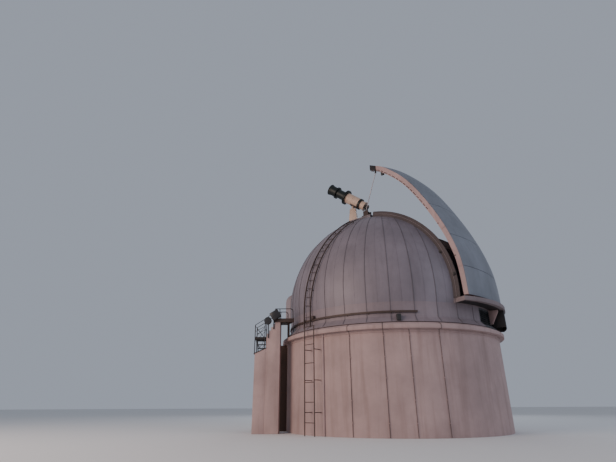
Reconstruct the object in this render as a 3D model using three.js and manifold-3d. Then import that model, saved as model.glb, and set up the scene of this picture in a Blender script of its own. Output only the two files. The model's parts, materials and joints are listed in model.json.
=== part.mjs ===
// Observatory dome: a masonry drum with a rotating gored dome, an arched shutter that
// tilts on the sill, a telescope on the crown, and an access bridge on its left.
// Millimetres, +Z up, ground at z = 0, the dome's axis on the Z axis.
// Azimuths are degrees from -Y towards +X, as a lathe turned upright runs.

import * as THREE from 'three';
import { mergeVertices } from 'three/addons/utils/BufferGeometryUtils.js';
import Module from 'manifold-3d';

const wasm = await Module();
wasm.setup();

// Driving dimensions
const SPRING = 7900; // height of the dome's centre over the ground
const GROUND = -SPRING; // all heights below are measured from the dome's centre
const GAP = 0.3; // face to face
const FACETS = 48;
const SEAM_AZIMUTH = 2.6; // azimuth of one gore seam
const SLIT_AZIMUTH = 50;

const DOME_RADIUS = 7000;
const SHELL_THICKNESS = 100;
const SHELL_FOOT = -850;
const SKIRT_RADIUS = 6930;
const SKIRT_FLARE = { radius: 7230, foot: -2050, edge: -2020, top: -1700 };
const TRACK_TOP = -2190;

const WALL_RADIUS = 7200;
const WALL_THICKNESS = 450;
const WALL_TOP = -2450;
const FLOOR_THICKNESS = 250;
const CORNICE_RADIUS = 7530;
const CORNICE_TOP_RADIUS = 7260;
const CORNICE_TOP = -2090;
const CORNICE_EDGE = 220;

const CURB_INNER = 2850; // half width of the slit
const CURB_OUTER = 3100;
const CURB_TOP_RADIUS = 6666; // in the curb's own upright plane
const CURB_BOTTOM_RADIUS = 6200;
const SLIT_END = 79; // degrees over the crown from the front

const LEDGE_ARC = { centre: 1200, radius: 6700 }; // its front is turned about an axis before the dome's own
const LEDGE_HALF_ANGLE = 25.6;
const LEDGE_TOP = -560;
const LEDGE_FOOT = -810;
const BAY_HALF_ANGLE = 7.7;

const LEAF_HALF_WIDTH = 3000;
const LEAF_THICKNESS = 60;
const LEAF_DEPTH = { foot: 250, tip: 420 };
const WEB_THICKNESS = 60;
const LEAF_AXIS = -2200; // the leaf's skin is turned about an axis behind the dome's own
const LEAF_FOOT = -440;
const LEAF_TIP = 1400; // distance of the tip's near corner from the dome's axis
const LEAF_TIP_SLOPE = 0.267; // the tip edge is cut obliquely
const LEAF_SEAMS = [1330, 3500, 5950];
const HINGE = { x: 7200, z: -505, pin: 22, eye: 45 };
const HINGE_PLACES = [-2400, -800, 800, 2400];

const LADDER = { azimuth: -53.8, lean: 10.5, half: 330, outer: 7155, depth: 70 };

const DECK_TOP = 7360;
const PIVOT = { x: -1900, y: 1594, z: 9180 };
const TELESCOPE_HEADING = 160; // degrees from +X
const TELESCOPE_ELEVATION = 36.2;
const TUBE_AXIS_OVER_PIVOT = 537;

const BRIDGE_FRONT = -3000;
const BRIDGE_BACK = -1900;
const BRIDGE_DECK = -1200;
const DECK_THICKNESS = 100;
const PIER_RIGHT = -7550;
const PIER_LEFT = -8430;
const LOW_WALL_LEFT = -9150;
const LANDING = -2240;
const STEP_RISE = 208;
const STEP_RUN = 125;

const rad = THREE.MathUtils.degToRad;

// Solids: joining and cutting closed geometries

function toSolid(geometry) {
  const bare = geometry.index ? geometry.toNonIndexed() : geometry.clone();
  bare.deleteAttribute('normal');
  bare.deleteAttribute('uv');
  const merged = mergeVertices(bare, 1e-3);
  const index = merged.index.array;
  const triangles = [];
  for (let i = 0; i < index.length; i += 3) {
    const [a, b, c] = [index[i], index[i + 1], index[i + 2]];
    if (a !== b && b !== c && c !== a) triangles.push(a, b, c);
  }
  return new wasm.Manifold(new wasm.Mesh({
    numProp: 3,
    vertProperties: new Float32Array(merged.attributes.position.array),
    triVerts: new Uint32Array(triangles),
  }));
}

function toGeometry(solid) {
  const mesh = solid.getMesh();
  const geometry = new THREE.BufferGeometry();
  geometry.setAttribute('position', new THREE.BufferAttribute(mesh.vertProperties, 3));
  geometry.setIndex(new THREE.BufferAttribute(mesh.triVerts, 1));
  geometry.computeVertexNormals();
  return geometry;
}

const join = (first, ...others) => others.reduce((sum, solid) => sum.add(solid), first);
const cut = (first, ...others) => others.reduce((rest, solid) => rest.subtract(solid), first);
const common = (first, ...others) => others.reduce((both, solid) => both.intersect(solid), first);

// Shapes

function block([x0, x1], [y0, y1], [z0, z1], turn = 0) {
  const geometry = new THREE.BoxGeometry(x1 - x0, y1 - y0, z1 - z0);
  geometry.translate((x0 + x1) / 2, (y0 + y1) / 2, (z0 + z1) / 2);
  return toSolid(geometry.rotateZ(rad(turn)));
}

// A closed (radius, height) profile, anticlockwise, turned round the dome's axis
function turned(profile, { phase = SEAM_AZIMUTH, facets = FACETS } = {}) {
  const points = profile.map(([r, z]) => new THREE.Vector2(r, z));
  points.push(points[0].clone());
  const geometry = new THREE.LatheGeometry(points, facets, rad(phase), 2 * Math.PI);
  return toSolid(geometry.rotateX(Math.PI / 2));
}

const ring = (r0, r1, z0, z1, options) => turned([[r0, z0], [r1, z0], [r1, z1], [r0, z1]], options);
const drum = (r, z0, z1, options) => turned([[0, z0], [r, z0], [r, z1], [0, z1]], options);

// An (x, z) outline standing in a plane of constant y, from y0 to y1
function upright(outline, y0, y1, turn = 0) {
  const shape = outline instanceof THREE.Shape ? outline
    : new THREE.Shape(outline.map(([x, z]) => new THREE.Vector2(x, z)));
  const geometry = new THREE.ExtrudeGeometry(shape, { depth: y1 - y0, bevelEnabled: false, curveSegments: 18 });
  return toSolid(geometry.rotateX(Math.PI / 2).translate(0, y1, 0).rotateZ(rad(turn)));
}

// An (x, y) outline raised from z0 to z1
function plan(outline, z0, z1) {
  const shape = new THREE.Shape(outline.map(([x, y]) => new THREE.Vector2(x, y)));
  const geometry = new THREE.ExtrudeGeometry(shape, { depth: z1 - z0, bevelEnabled: false });
  return toSolid(geometry.translate(0, 0, z0));
}

// The sector of the plan between two azimuths
function sector(from, to, z0 = GROUND, z1 = 0) {
  const reach = 12000;
  const steps = Math.max(1, Math.ceil((to - from) / 60));
  const points = [[0, 0]];
  for (let i = 0; i <= steps; i++) {
    const azimuth = rad(from + (to - from) * i / steps);
    points.push([reach * Math.sin(azimuth), -reach * Math.cos(azimuth)]);
  }
  return plan(points, z0, z1);
}

// A fan of the (x, z) plane between two angles over the front horizon, of half width w
function fan(from, to, w) {
  const reach = 20000;
  const edge = (angle) => [reach * Math.cos(rad(angle)), reach * Math.sin(rad(angle))];
  return upright([[0, 0], edge(from), edge(to)], -w, w);
}

// A round bar between two points
function bar(from, to, radius, sides = 6) {
  const a = new THREE.Vector3(...from);
  const b = new THREE.Vector3(...to);
  const geometry = new THREE.CylinderGeometry(radius, radius, a.distanceTo(b), sides);
  const turn = new THREE.Quaternion().setFromUnitVectors(
    new THREE.Vector3(0, 1, 0), b.clone().sub(a).normalize());
  geometry.applyQuaternion(turn);
  const middle = a.clone().lerp(b, 0.5);
  return toSolid(geometry.translate(middle.x, middle.y, middle.z));
}

// A ball-like body with the dome's own facets
function dome(radius, foot = -3000) {
  const low = Math.asin(foot / radius);
  const steps = 12;
  const start = Math.asin(SHELL_FOOT / DOME_RADIUS);
  const arc = [];
  for (let i = 0; i <= steps; i++) {
    const angle = start + (Math.PI / 2 - start) * i / steps;
    arc.push([i === steps ? 0 : radius * Math.cos(angle), radius * Math.sin(angle)]);
  }
  if (low < start) arc.unshift([radius * Math.cos(low), foot]);
  return arc;
}

const ball = (radius, options) => turned([[0, -3000], ...dome(radius)], options);
const LOCAL = { phase: SEAM_AZIMUTH + 90 - SLIT_AZIMUTH }; // gores as seen from the slit's frame

// Parts

const root = new THREE.Group();
root.position.z = SPRING;
const turning = new THREE.Group(); // all that turns with the dome
const slit = new THREE.Group(); // +X out through the slit
slit.rotation.z = rad(SLIT_AZIMUTH - 90);
root.add(turning);
turning.add(slit);

const finish = {
  skin: { color: 0x7c7890, roughness: 0.55, metalness: 0.25 },
  pinkWall: { color: 0xb48f92, roughness: 0.85, metalness: 0 },
  leaf: { color: 0x68727f, roughness: 0.5, metalness: 0.3 },
  web: { color: 0xb58d8c, roughness: 0.6, metalness: 0.1 },
  dark: { color: 0x2a2320, roughness: 0.7, metalness: 0.3 },
  brown: { color: 0x4a342c, roughness: 0.7, metalness: 0.3 },
  concrete: { color: 0x8b8586, roughness: 0.9, metalness: 0 },
  cream: { color: 0xd0a284, roughness: 0.5, metalness: 0.1 },
  black: { color: 0x121413, roughness: 0.5, metalness: 0.4 },
  rope: { color: 0xb8a6a8, roughness: 0.8, metalness: 0 },
  lamp: { color: 0x3f3a36, roughness: 0.5, metalness: 0.4 },
};

function place(group, name, solid, look) {
  const mesh = new THREE.Mesh(toGeometry(solid), new THREE.MeshStandardMaterial(finish[look]));
  mesh.name = name;
  group.add(mesh);
}

// Masonry drum, floors and cornice

const wallInner = WALL_RADIUS - WALL_THICKNESS;
place(root, 'ground_floor', drum(wallInner - 2 * GAP, GROUND, GROUND + FLOOR_THICKNESS), 'concrete');
place(root, 'observing_floor',
  drum(wallInner - 2 * GAP, WALL_TOP - FLOOR_THICKNESS, WALL_TOP), 'concrete');

const corniceProfile = [
  [wallInner, WALL_TOP + GAP],
  [CORNICE_RADIUS, WALL_TOP + GAP],
  [CORNICE_RADIUS, WALL_TOP + CORNICE_EDGE],
  [CORNICE_TOP_RADIUS, CORNICE_TOP],
  [7000, CORNICE_TOP],
  [7000, TRACK_TOP],
  [wallInner, TRACK_TOP],
];
const wallRing = ring(wallInner, WALL_RADIUS, GROUND, WALL_TOP);
const corniceRing = turned(corniceProfile);
const jointAngle = 0.0015; // half of the joint between neighbours, in degrees
['front', 'back'].forEach((side, i) => {
  const wedge = sector(180 * i - 90 + jointAngle, 180 * i + 90 - jointAngle);
  place(root, `drum_wall_${side}`, common(wallRing, wedge), 'pinkWall');
  place(root, `cornice_${side}`, common(corniceRing, wedge), 'pinkWall');
});

// Ladder on the drum

function wallLadder() {
  const stand = 7750;
  const [left, right] = [-50.2, -44.3];
  const at = (azimuth, radius, z) => [radius * Math.sin(rad(azimuth)), -radius * Math.cos(rad(azimuth)), z];
  const solids = [];
  for (const azimuth of [left, right]) {
    solids.push(bar(at(azimuth, stand, GROUND), at(azimuth, stand, -1940), 30));
    for (const z of [-3300, -5000, -6700]) {
      solids.push(bar(at(azimuth, WALL_RADIUS - 60, z), at(azimuth, stand, z), 22));
    }
  }
  for (let z = -1970; z > GROUND + 300; z -= 1050) {
    solids.push(bar(at(left, stand, z), at(right, stand, z), 20));
  }
  return cut(join(...solids), drum(WALL_RADIUS + GAP, GROUND - 10, WALL_TOP));
}
place(root, 'wall_ladder', wallLadder(), 'brown');

// Access bridge: stepped pier, deck, low wall, landing, stair and lamps

const steps = [];
for (let i = 0; i < 4; i++) {
  const x = -7900 - STEP_RUN * i;
  const z = BRIDGE_DECK - STEP_RISE * (i + 1);
  steps.push([x, z], [x - STEP_RUN, z]);
}
const pierOutline = [
  [PIER_RIGHT, GROUND],
  [PIER_RIGHT, BRIDGE_DECK - DECK_THICKNESS - GAP],
  [-7900, BRIDGE_DECK - DECK_THICKNESS - GAP],
  ...steps,
  [-8400, LANDING],
  [PIER_LEFT, LANDING],
  [PIER_LEFT, GROUND],
];
place(root, 'bridge_pier', upright(pierOutline, BRIDGE_FRONT, BRIDGE_BACK), 'pinkWall');

// Deck with its toe-boards and the post that stands on the cornice
function bridgeDeck() {
  const under = BRIDGE_DECK - DECK_THICKNESS;
  const domeClear = drum(7320, -3000, 0);
  const corniceClear = turned([
    [0, -3000],
    [CORNICE_RADIUS + GAP, -3000],
    [CORNICE_RADIUS + GAP, WALL_TOP + CORNICE_EDGE + GAP],
    [CORNICE_TOP_RADIUS + GAP, CORNICE_TOP + GAP],
    [0, CORNICE_TOP + GAP],
  ]);
  const deck = block([-7950, -6600], [BRIDGE_FRONT, BRIDGE_BACK], [under, BRIDGE_DECK]);
  const board = (y0, y1) => block([-7900, -6600], [y0, y1], [under, BRIDGE_DECK + 140]);
  const post = block([-7120, -6970], [-2345, -2255], [-2400, under + 10]);
  return cut(
    join(deck, board(BRIDGE_FRONT - 30, BRIDGE_FRONT + 3), board(BRIDGE_BACK - 3, BRIDGE_BACK + 30), post),
    domeClear, corniceClear);
}
place(root, 'bridge_deck', bridgeDeck(), 'brown');
place(root, 'link_wall', cut(
  block([PIER_LEFT, -6400], [-300, 100], [GROUND, WALL_TOP - GAP]),
  drum(WALL_RADIUS + GAP, GROUND - 10, WALL_TOP)), 'brown');

const roofLine = (x) => -2950 + (x - PIER_LEFT) * 0.443;
const lowWallOutline = [
  [PIER_LEFT - GAP, GROUND],
  [PIER_LEFT - GAP, roofLine(PIER_LEFT) - GAP],
  [LOW_WALL_LEFT, roofLine(LOW_WALL_LEFT) - GAP],
  [LOW_WALL_LEFT, GROUND],
];
place(root, 'low_wall', upright(lowWallOutline, BRIDGE_FRONT, BRIDGE_BACK), 'pinkWall');
const roofEnd = -9220;
const roofTop = 45;
const roofSlab = (under, over) => upright([
  [PIER_LEFT - GAP, roofLine(PIER_LEFT) + under],
  [PIER_LEFT - GAP, roofLine(PIER_LEFT) + over],
  [roofEnd, roofLine(roofEnd) + over],
  [roofEnd, roofLine(roofEnd) + under],
], BRIDGE_FRONT - 30, BRIDGE_BACK + 30);
place(root, 'low_roof', roofSlab(0, roofTop), 'dark');

// Railing along one edge of the bridge; its inner end curves down to the deck
function bridgeRailing(y, endX) {
  const top = -420;
  const bend = 160;
  const tube = 25;
  const foot = BRIDGE_DECK + GAP;
  const solids = [
    bar([-7900, y, foot], [-7900, y, top + tube], tube),
    bar([-7600, y, foot], [-7600, y, top], tube),
    bar([-7900, y, top], [endX - bend, y, top], tube),
    bar([endX - bend, y, top], [endX - bend * 0.3, y, top - bend * 0.3], tube),
    bar([endX - bend * 0.3, y, top - bend * 0.3], [endX, y, top - bend], tube),
    bar([endX, y, top - bend], [endX, y, foot], tube),
  ];
  for (const x of [endX - bend, endX - bend * 0.3, endX]) {
    const z = x === endX ? top - bend : x === endX - bend ? top : top - bend * 0.3;
    const knuckle = new THREE.SphereGeometry(tube * 1.08, 6, 4);
    solids.push(toSolid(knuckle.translate(x, y, z)));
  }
  return join(...solids);
}
place(root, 'bridge_railing_front', bridgeRailing(-2970, -6735), 'dark');
place(root, 'bridge_railing_back', bridgeRailing(-1930, -7110), 'dark');

// Posts, sloping handrails and braces along one side of the landing
function stairFrame(y0, y1) {
  const y = (y0 + y1) / 2;
  const post = (x, top) => cut(
    block([x - 25, x + 25], [y0, y1], [roofLine(x), top]), roofSlab(-100, roofTop + GAP));
  const rail = (a, b, radius = 20) => bar([a[0], y, a[1]], [b[0], y, b[1]], radius);
  return join(
    post(-9170, -1450), post(-8540, -1060),
    rail([-9170, -1470], [-8540, -1080]),
    rail([-8540, -1080], [-7975, -640]),
    rail([-9170, -1900], [-8540, -1560], 16),
    rail([-9170, -1550], [-8540, -2300], 14),
    rail([-9170, -2300], [-8540, -1600], 14),
    rail([-9170, -2360], [-8540, -2360], 24),
    rail([-9170, -2380], [-8855, -2950], 14),
    rail([-8855, -2950], [-8540, -2380], 14),
    bar([-7975, y, -640], [-7975, y, -1050], 20),
  );
}
place(root, 'stair_landing', join(
  block([-9195, PIER_LEFT - GAP], [-2975, -1925], [LANDING - 100, LANDING]),
  stairFrame(-3000, -2950), stairFrame(-1950, -1900)), 'dark');

// Straight flight from the landing down behind the low wall to the ground
function stairFlight() {
  const top = LANDING - 100;
  const count = 26;
  const rise = (top - GROUND) / count;
  const run = 215;
  const startY = -1900 + GAP;
  const [x0, x1] = [-9140, -8490];
  const solids = [];
  for (const x of [x0, x1 - 40]) {
    const outline = [
      [startY, top], [startY, top - 260],
      [startY + run * count - run * 1.2, GROUND], [startY + run * count, GROUND],
    ];
    const shape = new THREE.Shape(outline.map(([y, z]) => new THREE.Vector2(y, z)));
    const geometry = new THREE.ExtrudeGeometry(shape, { depth: 40, bevelEnabled: false });
    // outline (y, z) stood up on the YZ plane
    geometry.applyMatrix4(new THREE.Matrix4().set(0, 0, 1, x, 1, 0, 0, 0, 0, 1, 0, 0, 0, 0, 0, 1));
    solids.push(toSolid(geometry));
  }
  for (let i = 1; i < count; i++) {
    const y = startY + run * (i - 1) + 20;
    const z = top - rise * i;
    solids.push(block([x0 + 20, x1 - 20], [y, y + run + 10], [z - 40, z]));
  }
  return join(...solids);
}
place(root, 'stair_flight', stairFlight(), 'dark');

function squareLamp() {
  const body = new THREE.BoxGeometry(600, 200, 540).rotateY(rad(-32)).translate(-7880, -3135, -860);
  return join(toSolid(body), block([-8005, -7945], [-3060, BRIDGE_FRONT - GAP], [-1750, -1000]));
}
place(root, 'floodlight_square', squareLamp(), 'lamp');

function roundLamp() {
  const body = new THREE.CylinderGeometry(240, 240, 200, 24).translate(-8350, -3105, -1240);
  return join(toSolid(body), block([-8350, -8290], [-3060, BRIDGE_FRONT - GAP], [-2300, -1300]));
}
place(root, 'floodlight_round', roundLamp(), 'lamp');

// Rotating dome: skirt, shell, curbs, ledge and bay

const skirtProfile = [
  [SKIRT_RADIUS - 100, TRACK_TOP + GAP],
  [SKIRT_RADIUS - 30, TRACK_TOP + GAP],
  [SKIRT_RADIUS - 30, SKIRT_FLARE.foot],
  [SKIRT_FLARE.radius - 15, SKIRT_FLARE.foot],
  [SKIRT_FLARE.radius, SKIRT_FLARE.edge],
  [SKIRT_RADIUS, SKIRT_FLARE.top],
  [SKIRT_RADIUS, -1000],
  [6948, SHELL_FOOT],
  [6848, SHELL_FOOT],
  [SKIRT_RADIUS - 100, -1000],
];
const skirtRing = turned(skirtProfile, LOCAL);
// What is fixed on the skirt is cut back to it
const skirtClear = (options) => turned([
  [0, -3000],
  [SKIRT_FLARE.radius + GAP, -3000],
  [SKIRT_FLARE.radius + GAP, SKIRT_FLARE.edge + GAP],
  [SKIRT_RADIUS + GAP, SKIRT_FLARE.top + GAP],
  [SKIRT_RADIUS + GAP, -900],
  [0, -900],
], options);
const bay = [90 - BAY_HALF_ANGLE, 90 + BAY_HALF_ANGLE];
const skirtSpan = (360 - 2 * BAY_HALF_ANGLE) / 2;
['far', 'near'].forEach((side, i) => {
  const from = bay[1] + skirtSpan * i;
  const wedge = sector(from + jointAngle, from + skirtSpan - jointAngle);
  place(slit, `dome_skirt_${side}`, common(skirtRing, wedge), 'skin');
});

function bayLouvre() {
  const frame = cut(
    common(skirtRing, sector(bay[0] + jointAngle, bay[1] - jointAngle)),
    block([6000, 8000], [-830, 830], [-1850, -950]));
  const slats = [];
  for (let i = 0; i < 7; i++) {
    const slat = new THREE.BoxGeometry(120, 1700, 18).rotateY(rad(40));
    slats.push(toSolid(slat.translate(6850, 0, -1790 + 130 * i)));
  }
  return join(frame, ...slats);
}
place(slit, 'bay_louvre', bayLouvre(), 'dark');

const outerArc = dome(DOME_RADIUS, SHELL_FOOT);
const innerArc = dome(DOME_RADIUS - SHELL_THICKNESS, SHELL_FOOT);
const wholeShell = turned([...outerArc, ...innerArc.reverse()], LOCAL);

const HOOD_AZIMUTH = -104;
const hoodTurn = HOOD_AZIMUTH - 90; // +X out through the hood, in the dome's own frame
const hoodTurnInSlit = hoodTurn + 90 - SLIT_AZIMUTH;
const hoodOpening = block([5500, 7600], [-600, 600], [-250, 1300], hoodTurnInSlit);

const far = 9000;
const shellPieces = {
  shell_near: block([-far, far], [-far, -CURB_OUTER - GAP], [SHELL_FOOT - 1, far]),
  shell_far: block([-far, far], [CURB_OUTER + GAP, far], [SHELL_FOOT - 1, far]),
  shell_rear: fan(SLIT_END + 0.005, 190, CURB_OUTER),
};
for (const [name, region] of Object.entries(shellPieces)) {
  place(slit, name, cut(common(wholeShell, region), hoodOpening), 'skin');
}

// A curb stands along each side of the slit, up to its end near the crown
function curb(y0, y1) {
  const outline = new THREE.Shape();
  const [from, to] = [rad(-8), rad(SLIT_END)];
  outline.absarc(0, 0, CURB_TOP_RADIUS, from, to, false);
  outline.absarc(0, 0, CURB_BOTTOM_RADIUS, to, from, true);
  const solid = upright(outline, y0, y1);
  return cut(solid, block([0, far], [-far, far], [-far, LEDGE_TOP + GAP]));
}
place(slit, 'slit_curb_near', curb(-CURB_OUTER, -CURB_INNER), 'brown');
place(slit, 'slit_curb_far', curb(CURB_INNER, CURB_OUTER), 'brown');

// Beam across the end of the slit, between the curbs
place(slit, 'crown_beam', common(
  turned([...dome(7150, SHELL_FOOT), ...dome(6905, SHELL_FOOT).reverse()], LOCAL),
  fan(SLIT_END - 2, SLIT_END, CURB_INNER - GAP)), 'brown');

// Eyes on the sill and the pins of the leaf's foot share one axis
function eyePlate(y, thickness, outline, hole) {
  const shape = new THREE.Shape(outline);
  if (hole) shape.holes.push(new THREE.Path(hole));
  return upright(shape, y - thickness / 2, y + thickness / 2);
}
// Points at every 22.5 degrees of a circle about the hinge, between two angles
function hingeArc(radius, from = 0, to = 337.5) {
  const points = [];
  for (let angle = from; angle <= to; angle += 22.5) {
    points.push(new THREE.Vector2(
      HINGE.x + radius * Math.cos(rad(angle)), HINGE.z + radius * Math.sin(rad(angle))));
  }
  return points;
}
const pinHole = (HINGE.pin + GAP) / Math.cos(Math.PI / 16);

// All between a radius and the ledge's front, or a line at a distance behind that front
const ledgeFront = (inner, behind, z0, z1) => cut(
  drum(LEDGE_ARC.radius - behind, z0, z1, { facets: 72 }).translate([LEDGE_ARC.centre, 0, 0]),
  drum(inner, z0 - 10, z1 + 10, LOCAL));

function sillLedge() {
  const shelf = common(
    ledgeFront(DOME_RADIUS + 0.5, 0, LEDGE_FOOT, LEDGE_TOP),
    sector(90 - LEDGE_HALF_ANGLE, 90 + LEDGE_HALF_ANGLE));
  const sill = common(
    ring(SKIRT_RADIUS - 100, DOME_RADIUS + 10, SHELL_FOOT + GAP, LEDGE_TOP, LOCAL),
    block([100, far], [-CURB_OUTER + GAP, CURB_OUTER - GAP], [-far, far]));
  const cheeks = [];
  for (const place of HINGE_PLACES) {
    for (const y of [place - 45, place + 45]) {
      const outline = hingeArc(HINGE.eye, 0, 180);
      outline.push(new THREE.Vector2(HINGE.x - HINGE.eye, LEDGE_TOP - 20));
      outline.push(new THREE.Vector2(HINGE.x + HINGE.eye, LEDGE_TOP - 20));
      cheeks.push(eyePlate(y, 40, outline, hingeArc(pinHole)));
    }
  }
  return join(shelf, sill, ...cheeks);
}
place(slit, 'sill_ledge', sillLedge(), 'web');

// Housing under the ledge beside the bay, open below
function driveHousing() {
  const foot = -1850;
  const top = LEDGE_FOOT - GAP;
  const outer = common(ledgeFront(DOME_RADIUS + 11, 80, foot, top), sector(98.2, 115.2));
  const inner = common(ledgeFront(7040, 120, foot - 10, top - 40), sector(98.6, 114.8));
  return cut(outer, inner, skirtClear(LOCAL));
}
place(slit, 'drive_housing', driveHousing(), 'dark');

// Ring rail round the skirt's left and front, on straps
function ringRail() {
  const rail = common(ring(6955, 7025, -1490, -1380), sector(-112, 3.7, -1600, -1300));
  const straps = [];
  for (let azimuth = -103.8; azimuth < 0; azimuth += 10.6) {
    straps.push(block([6900, 6980], [-20, 20], [-1540, -1400], azimuth - 90));
  }
  const lamp = block([6975, 7115], [-95, 95], [-1390, -1200], -50.4 - 90);
  return cut(join(rail, lamp, ...straps), skirtClear());
}
place(turning, 'ring_rail', ringRail(), 'brown');

// Ladder up the dome: two arcs side by side that lean to the right, on straight feet
function domeLadder() {
  const { azimuth, lean, half, outer, depth } = LADDER;
  const middle = outer - depth / 2;
  const inPlane = (radius) => Math.sqrt(radius * radius - half * half);
  const [low, high] = [-6, 57];
  const foot = -1890;
  const sideways = new THREE.Vector3(1, 0, 0);
  const leaning = [];
  const straight = [];
  const arcPoint = (angle, y) => [
    inPlane(middle) * Math.cos(rad(angle)), y, inPlane(middle) * Math.sin(rad(angle))];
  const ends = [-half, half].map(
    (y) => new THREE.Vector3(...arcPoint(low, y)).applyAxisAngle(sideways, rad(-lean)));
  for (const end of ends) {
    straight.push(block([end.x - depth / 2, end.x + depth / 2], [end.y - 25, end.y + 25], [foot, end.z + 20]));
    straight.push(block([6900, end.x], [end.y - 20, end.y + 20], [-1350, -1310]));
  }
  for (const y of [-half, half]) {
    const outline = new THREE.Shape();
    outline.absarc(0, 0, inPlane(outer), rad(low), rad(high), false);
    outline.absarc(0, 0, inPlane(outer - depth), rad(high), rad(low), true);
    leaning.push(upright(outline, y - 25, y + 25));
    for (const angle of [4, 17, 30, 43, 54]) {
      const lug = new THREE.BoxGeometry(180, 40, 40).translate(inPlane(7045), 0, 0);
      leaning.push(toSolid(lug.rotateY(rad(-angle)).translate(0, y, 0)));
    }
  }
  for (let angle = low + 2; angle < high; angle += 4.44) {
    leaning.push(bar(arcPoint(angle, -half), arcPoint(angle, half), 18));
  }
  for (const z of [-1600, -1200]) {
    straight.push(bar([ends[0].x, ends[0].y, z], [ends[1].x, ends[1].y, z], 18));
  }
  const ladder = join(join(...leaning).rotate([-lean, 0, 0]), ...straight).rotate([0, 0, azimuth - 90]);
  return cut(ladder, ball(DOME_RADIUS + 2 * GAP), skirtClear());
}
place(turning, 'dome_ladder', domeLadder(), 'brown');

// Hood over the rear hatch, round at its outer top edge
function doorHood() {
  const outline = (inset) => {
    const shape = new THREE.Shape();
    shape.moveTo(6300, -350 + inset);
    shape.lineTo(7480 - inset, -350 + inset);
    shape.lineTo(7480 - inset, 900);
    shape.absarc(6880, 900, 600 - inset, 0, Math.PI / 2, false);
    shape.lineTo(6300, 1500 - inset);
    return shape;
  };
  const wall = 60;
  const shellOut = upright(outline(0), -700, 700, hoodTurn);
  const shellIn = upright(outline(wall), -700 + wall, 700 - wall, hoodTurn);
  const doorway = block([7300, 7600], [-500, 500], [-250, 750], hoodTurn);
  return cut(shellOut, shellIn, doorway, ball(DOME_RADIUS + 2 * GAP));
}
place(turning, 'hatch_hood', doorHood(), 'skin');
place(turning, 'hatch_door',
  block([7435, 7470], [-500 + GAP, 500 - GAP], [-250 + GAP, 750 - GAP], hoodTurn), 'brown');

place(turning, 'skirt_lamp', cut(
  block([6900, 7290], [-115, 115], [-1990, -1620], -5.4 - 90), skirtClear()), 'lamp');

// Crown platform, winch and telescope pedestal

function crownPlatform() {
  const [front, back, wide] = [-50, -3150, 1300];
  const outline = (inset, frontX) => [
    [back + inset, -800 + inset / 2], [-1900, -wide + inset], [frontX, -wide + inset],
    [frontX, wide - inset], [-1900, wide - inset], [back + inset, 800 - inset / 2]];
  const deck = plan(outline(0, front), DECK_TOP - 80, DECK_TOP);
  const skirts = cut(
    plan(outline(50, front - 50), 5500, DECK_TOP - 40),
    plan(outline(110, front), 5400, DECK_TOP));
  return cut(join(deck, skirts), ball(DOME_RADIUS + 2 * GAP, LOCAL));
}
place(slit, 'crown_platform', crownPlatform(), 'brown');

const WINCH = { x: -480, z: 7750, radius: 110 };
function ropeWinch() {
  const base = block([-850, -110], [-1280, -760], [DECK_TOP + GAP, 7440]);
  const cheeks = [
    block([-700, -260], [-1280, -1220], [7400, 7800]),
    block([-700, -260], [-820, -760], [7400, 7800]),
  ];
  const barrel = bar([WINCH.x, -1250, WINCH.z], [WINCH.x, -790, WINCH.z], WINCH.radius, 16);
  return join(base, ...cheeks, barrel);
}
place(slit, 'rope_winch', ropeWinch(), 'brown');

const stand = new THREE.Group();
stand.position.set(PIVOT.x, PIVOT.y, 0);
stand.rotation.z = rad(TELESCOPE_HEADING);
turning.add(stand);

const TRUNNION = { pin: 32, lugHalf: 100, cheek: 60, eye: 78 };
function pedestal() {
  const column = common(
    upright([[300, 7420], [220, 9000], [-260, 9000], [-420, 7420]], -900, 900),
    toSolid(new THREE.ExtrudeGeometry(
      new THREE.Shape([[-480, 7420], [480, 7420], [180, 9000], [-180, 9000]].map(
        ([y, z]) => new THREE.Vector2(y, z))), { depth: 2000, bevelEnabled: false })
      .applyMatrix4(new THREE.Matrix4().set(0, 0, 1, -1000, 1, 0, 0, 0, 0, 1, 0, 0, 0, 0, 0, 1))));
  const base = block([-560, 440], [-560, 560], [DECK_TOP + GAP, 7430]);
  const saddle = block([-400, 400], [-TRUNNION.lugHalf - GAP, TRUNNION.lugHalf + GAP], [8870, 9500]);
  const holeRadius = (TRUNNION.pin + GAP) / Math.cos(Math.PI / 16);
  const hole = new THREE.CylinderGeometry(holeRadius, holeRadius, 600, 16).translate(0, 0, PIVOT.z);
  const heads = [-1, 1].map((side) => {
    const y = side * (TRUNNION.lugHalf + GAP + TRUNNION.cheek / 2);
    const eye = new THREE.CylinderGeometry(TRUNNION.eye, TRUNNION.eye, TRUNNION.cheek, 24);
    return join(
      toSolid(eye.translate(0, y, PIVOT.z)),
      block([-TRUNNION.eye, TRUNNION.eye], [y - TRUNNION.cheek / 2, y + TRUNNION.cheek / 2], [8850, PIVOT.z]));
  });
  return cut(join(cut(join(column, base), saddle), ...heads), toSolid(hole));
}
place(stand, 'telescope_pedestal', pedestal(), 'cream');

// Telescope: the tube lies over its trunnion, +X to the muzzle

const telescope = new THREE.Group();
telescope.position.z = PIVOT.z;
telescope.rotation.y = -rad(TELESCOPE_ELEVATION);
stand.add(telescope);

function tubePart(profile, facets = 20) {
  const points = profile.map(([x, r]) => new THREE.Vector2(r, x));
  if (points[points.length - 1].x > 0 || points[0].x > 0) points.push(points[0].clone());
  const geometry = new THREE.LatheGeometry(points, facets);
  geometry.rotateX(Math.PI / 2).rotateY(Math.PI / 2).translate(0, 0, TUBE_AXIS_OVER_PIVOT);
  return toSolid(geometry);
}

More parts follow.
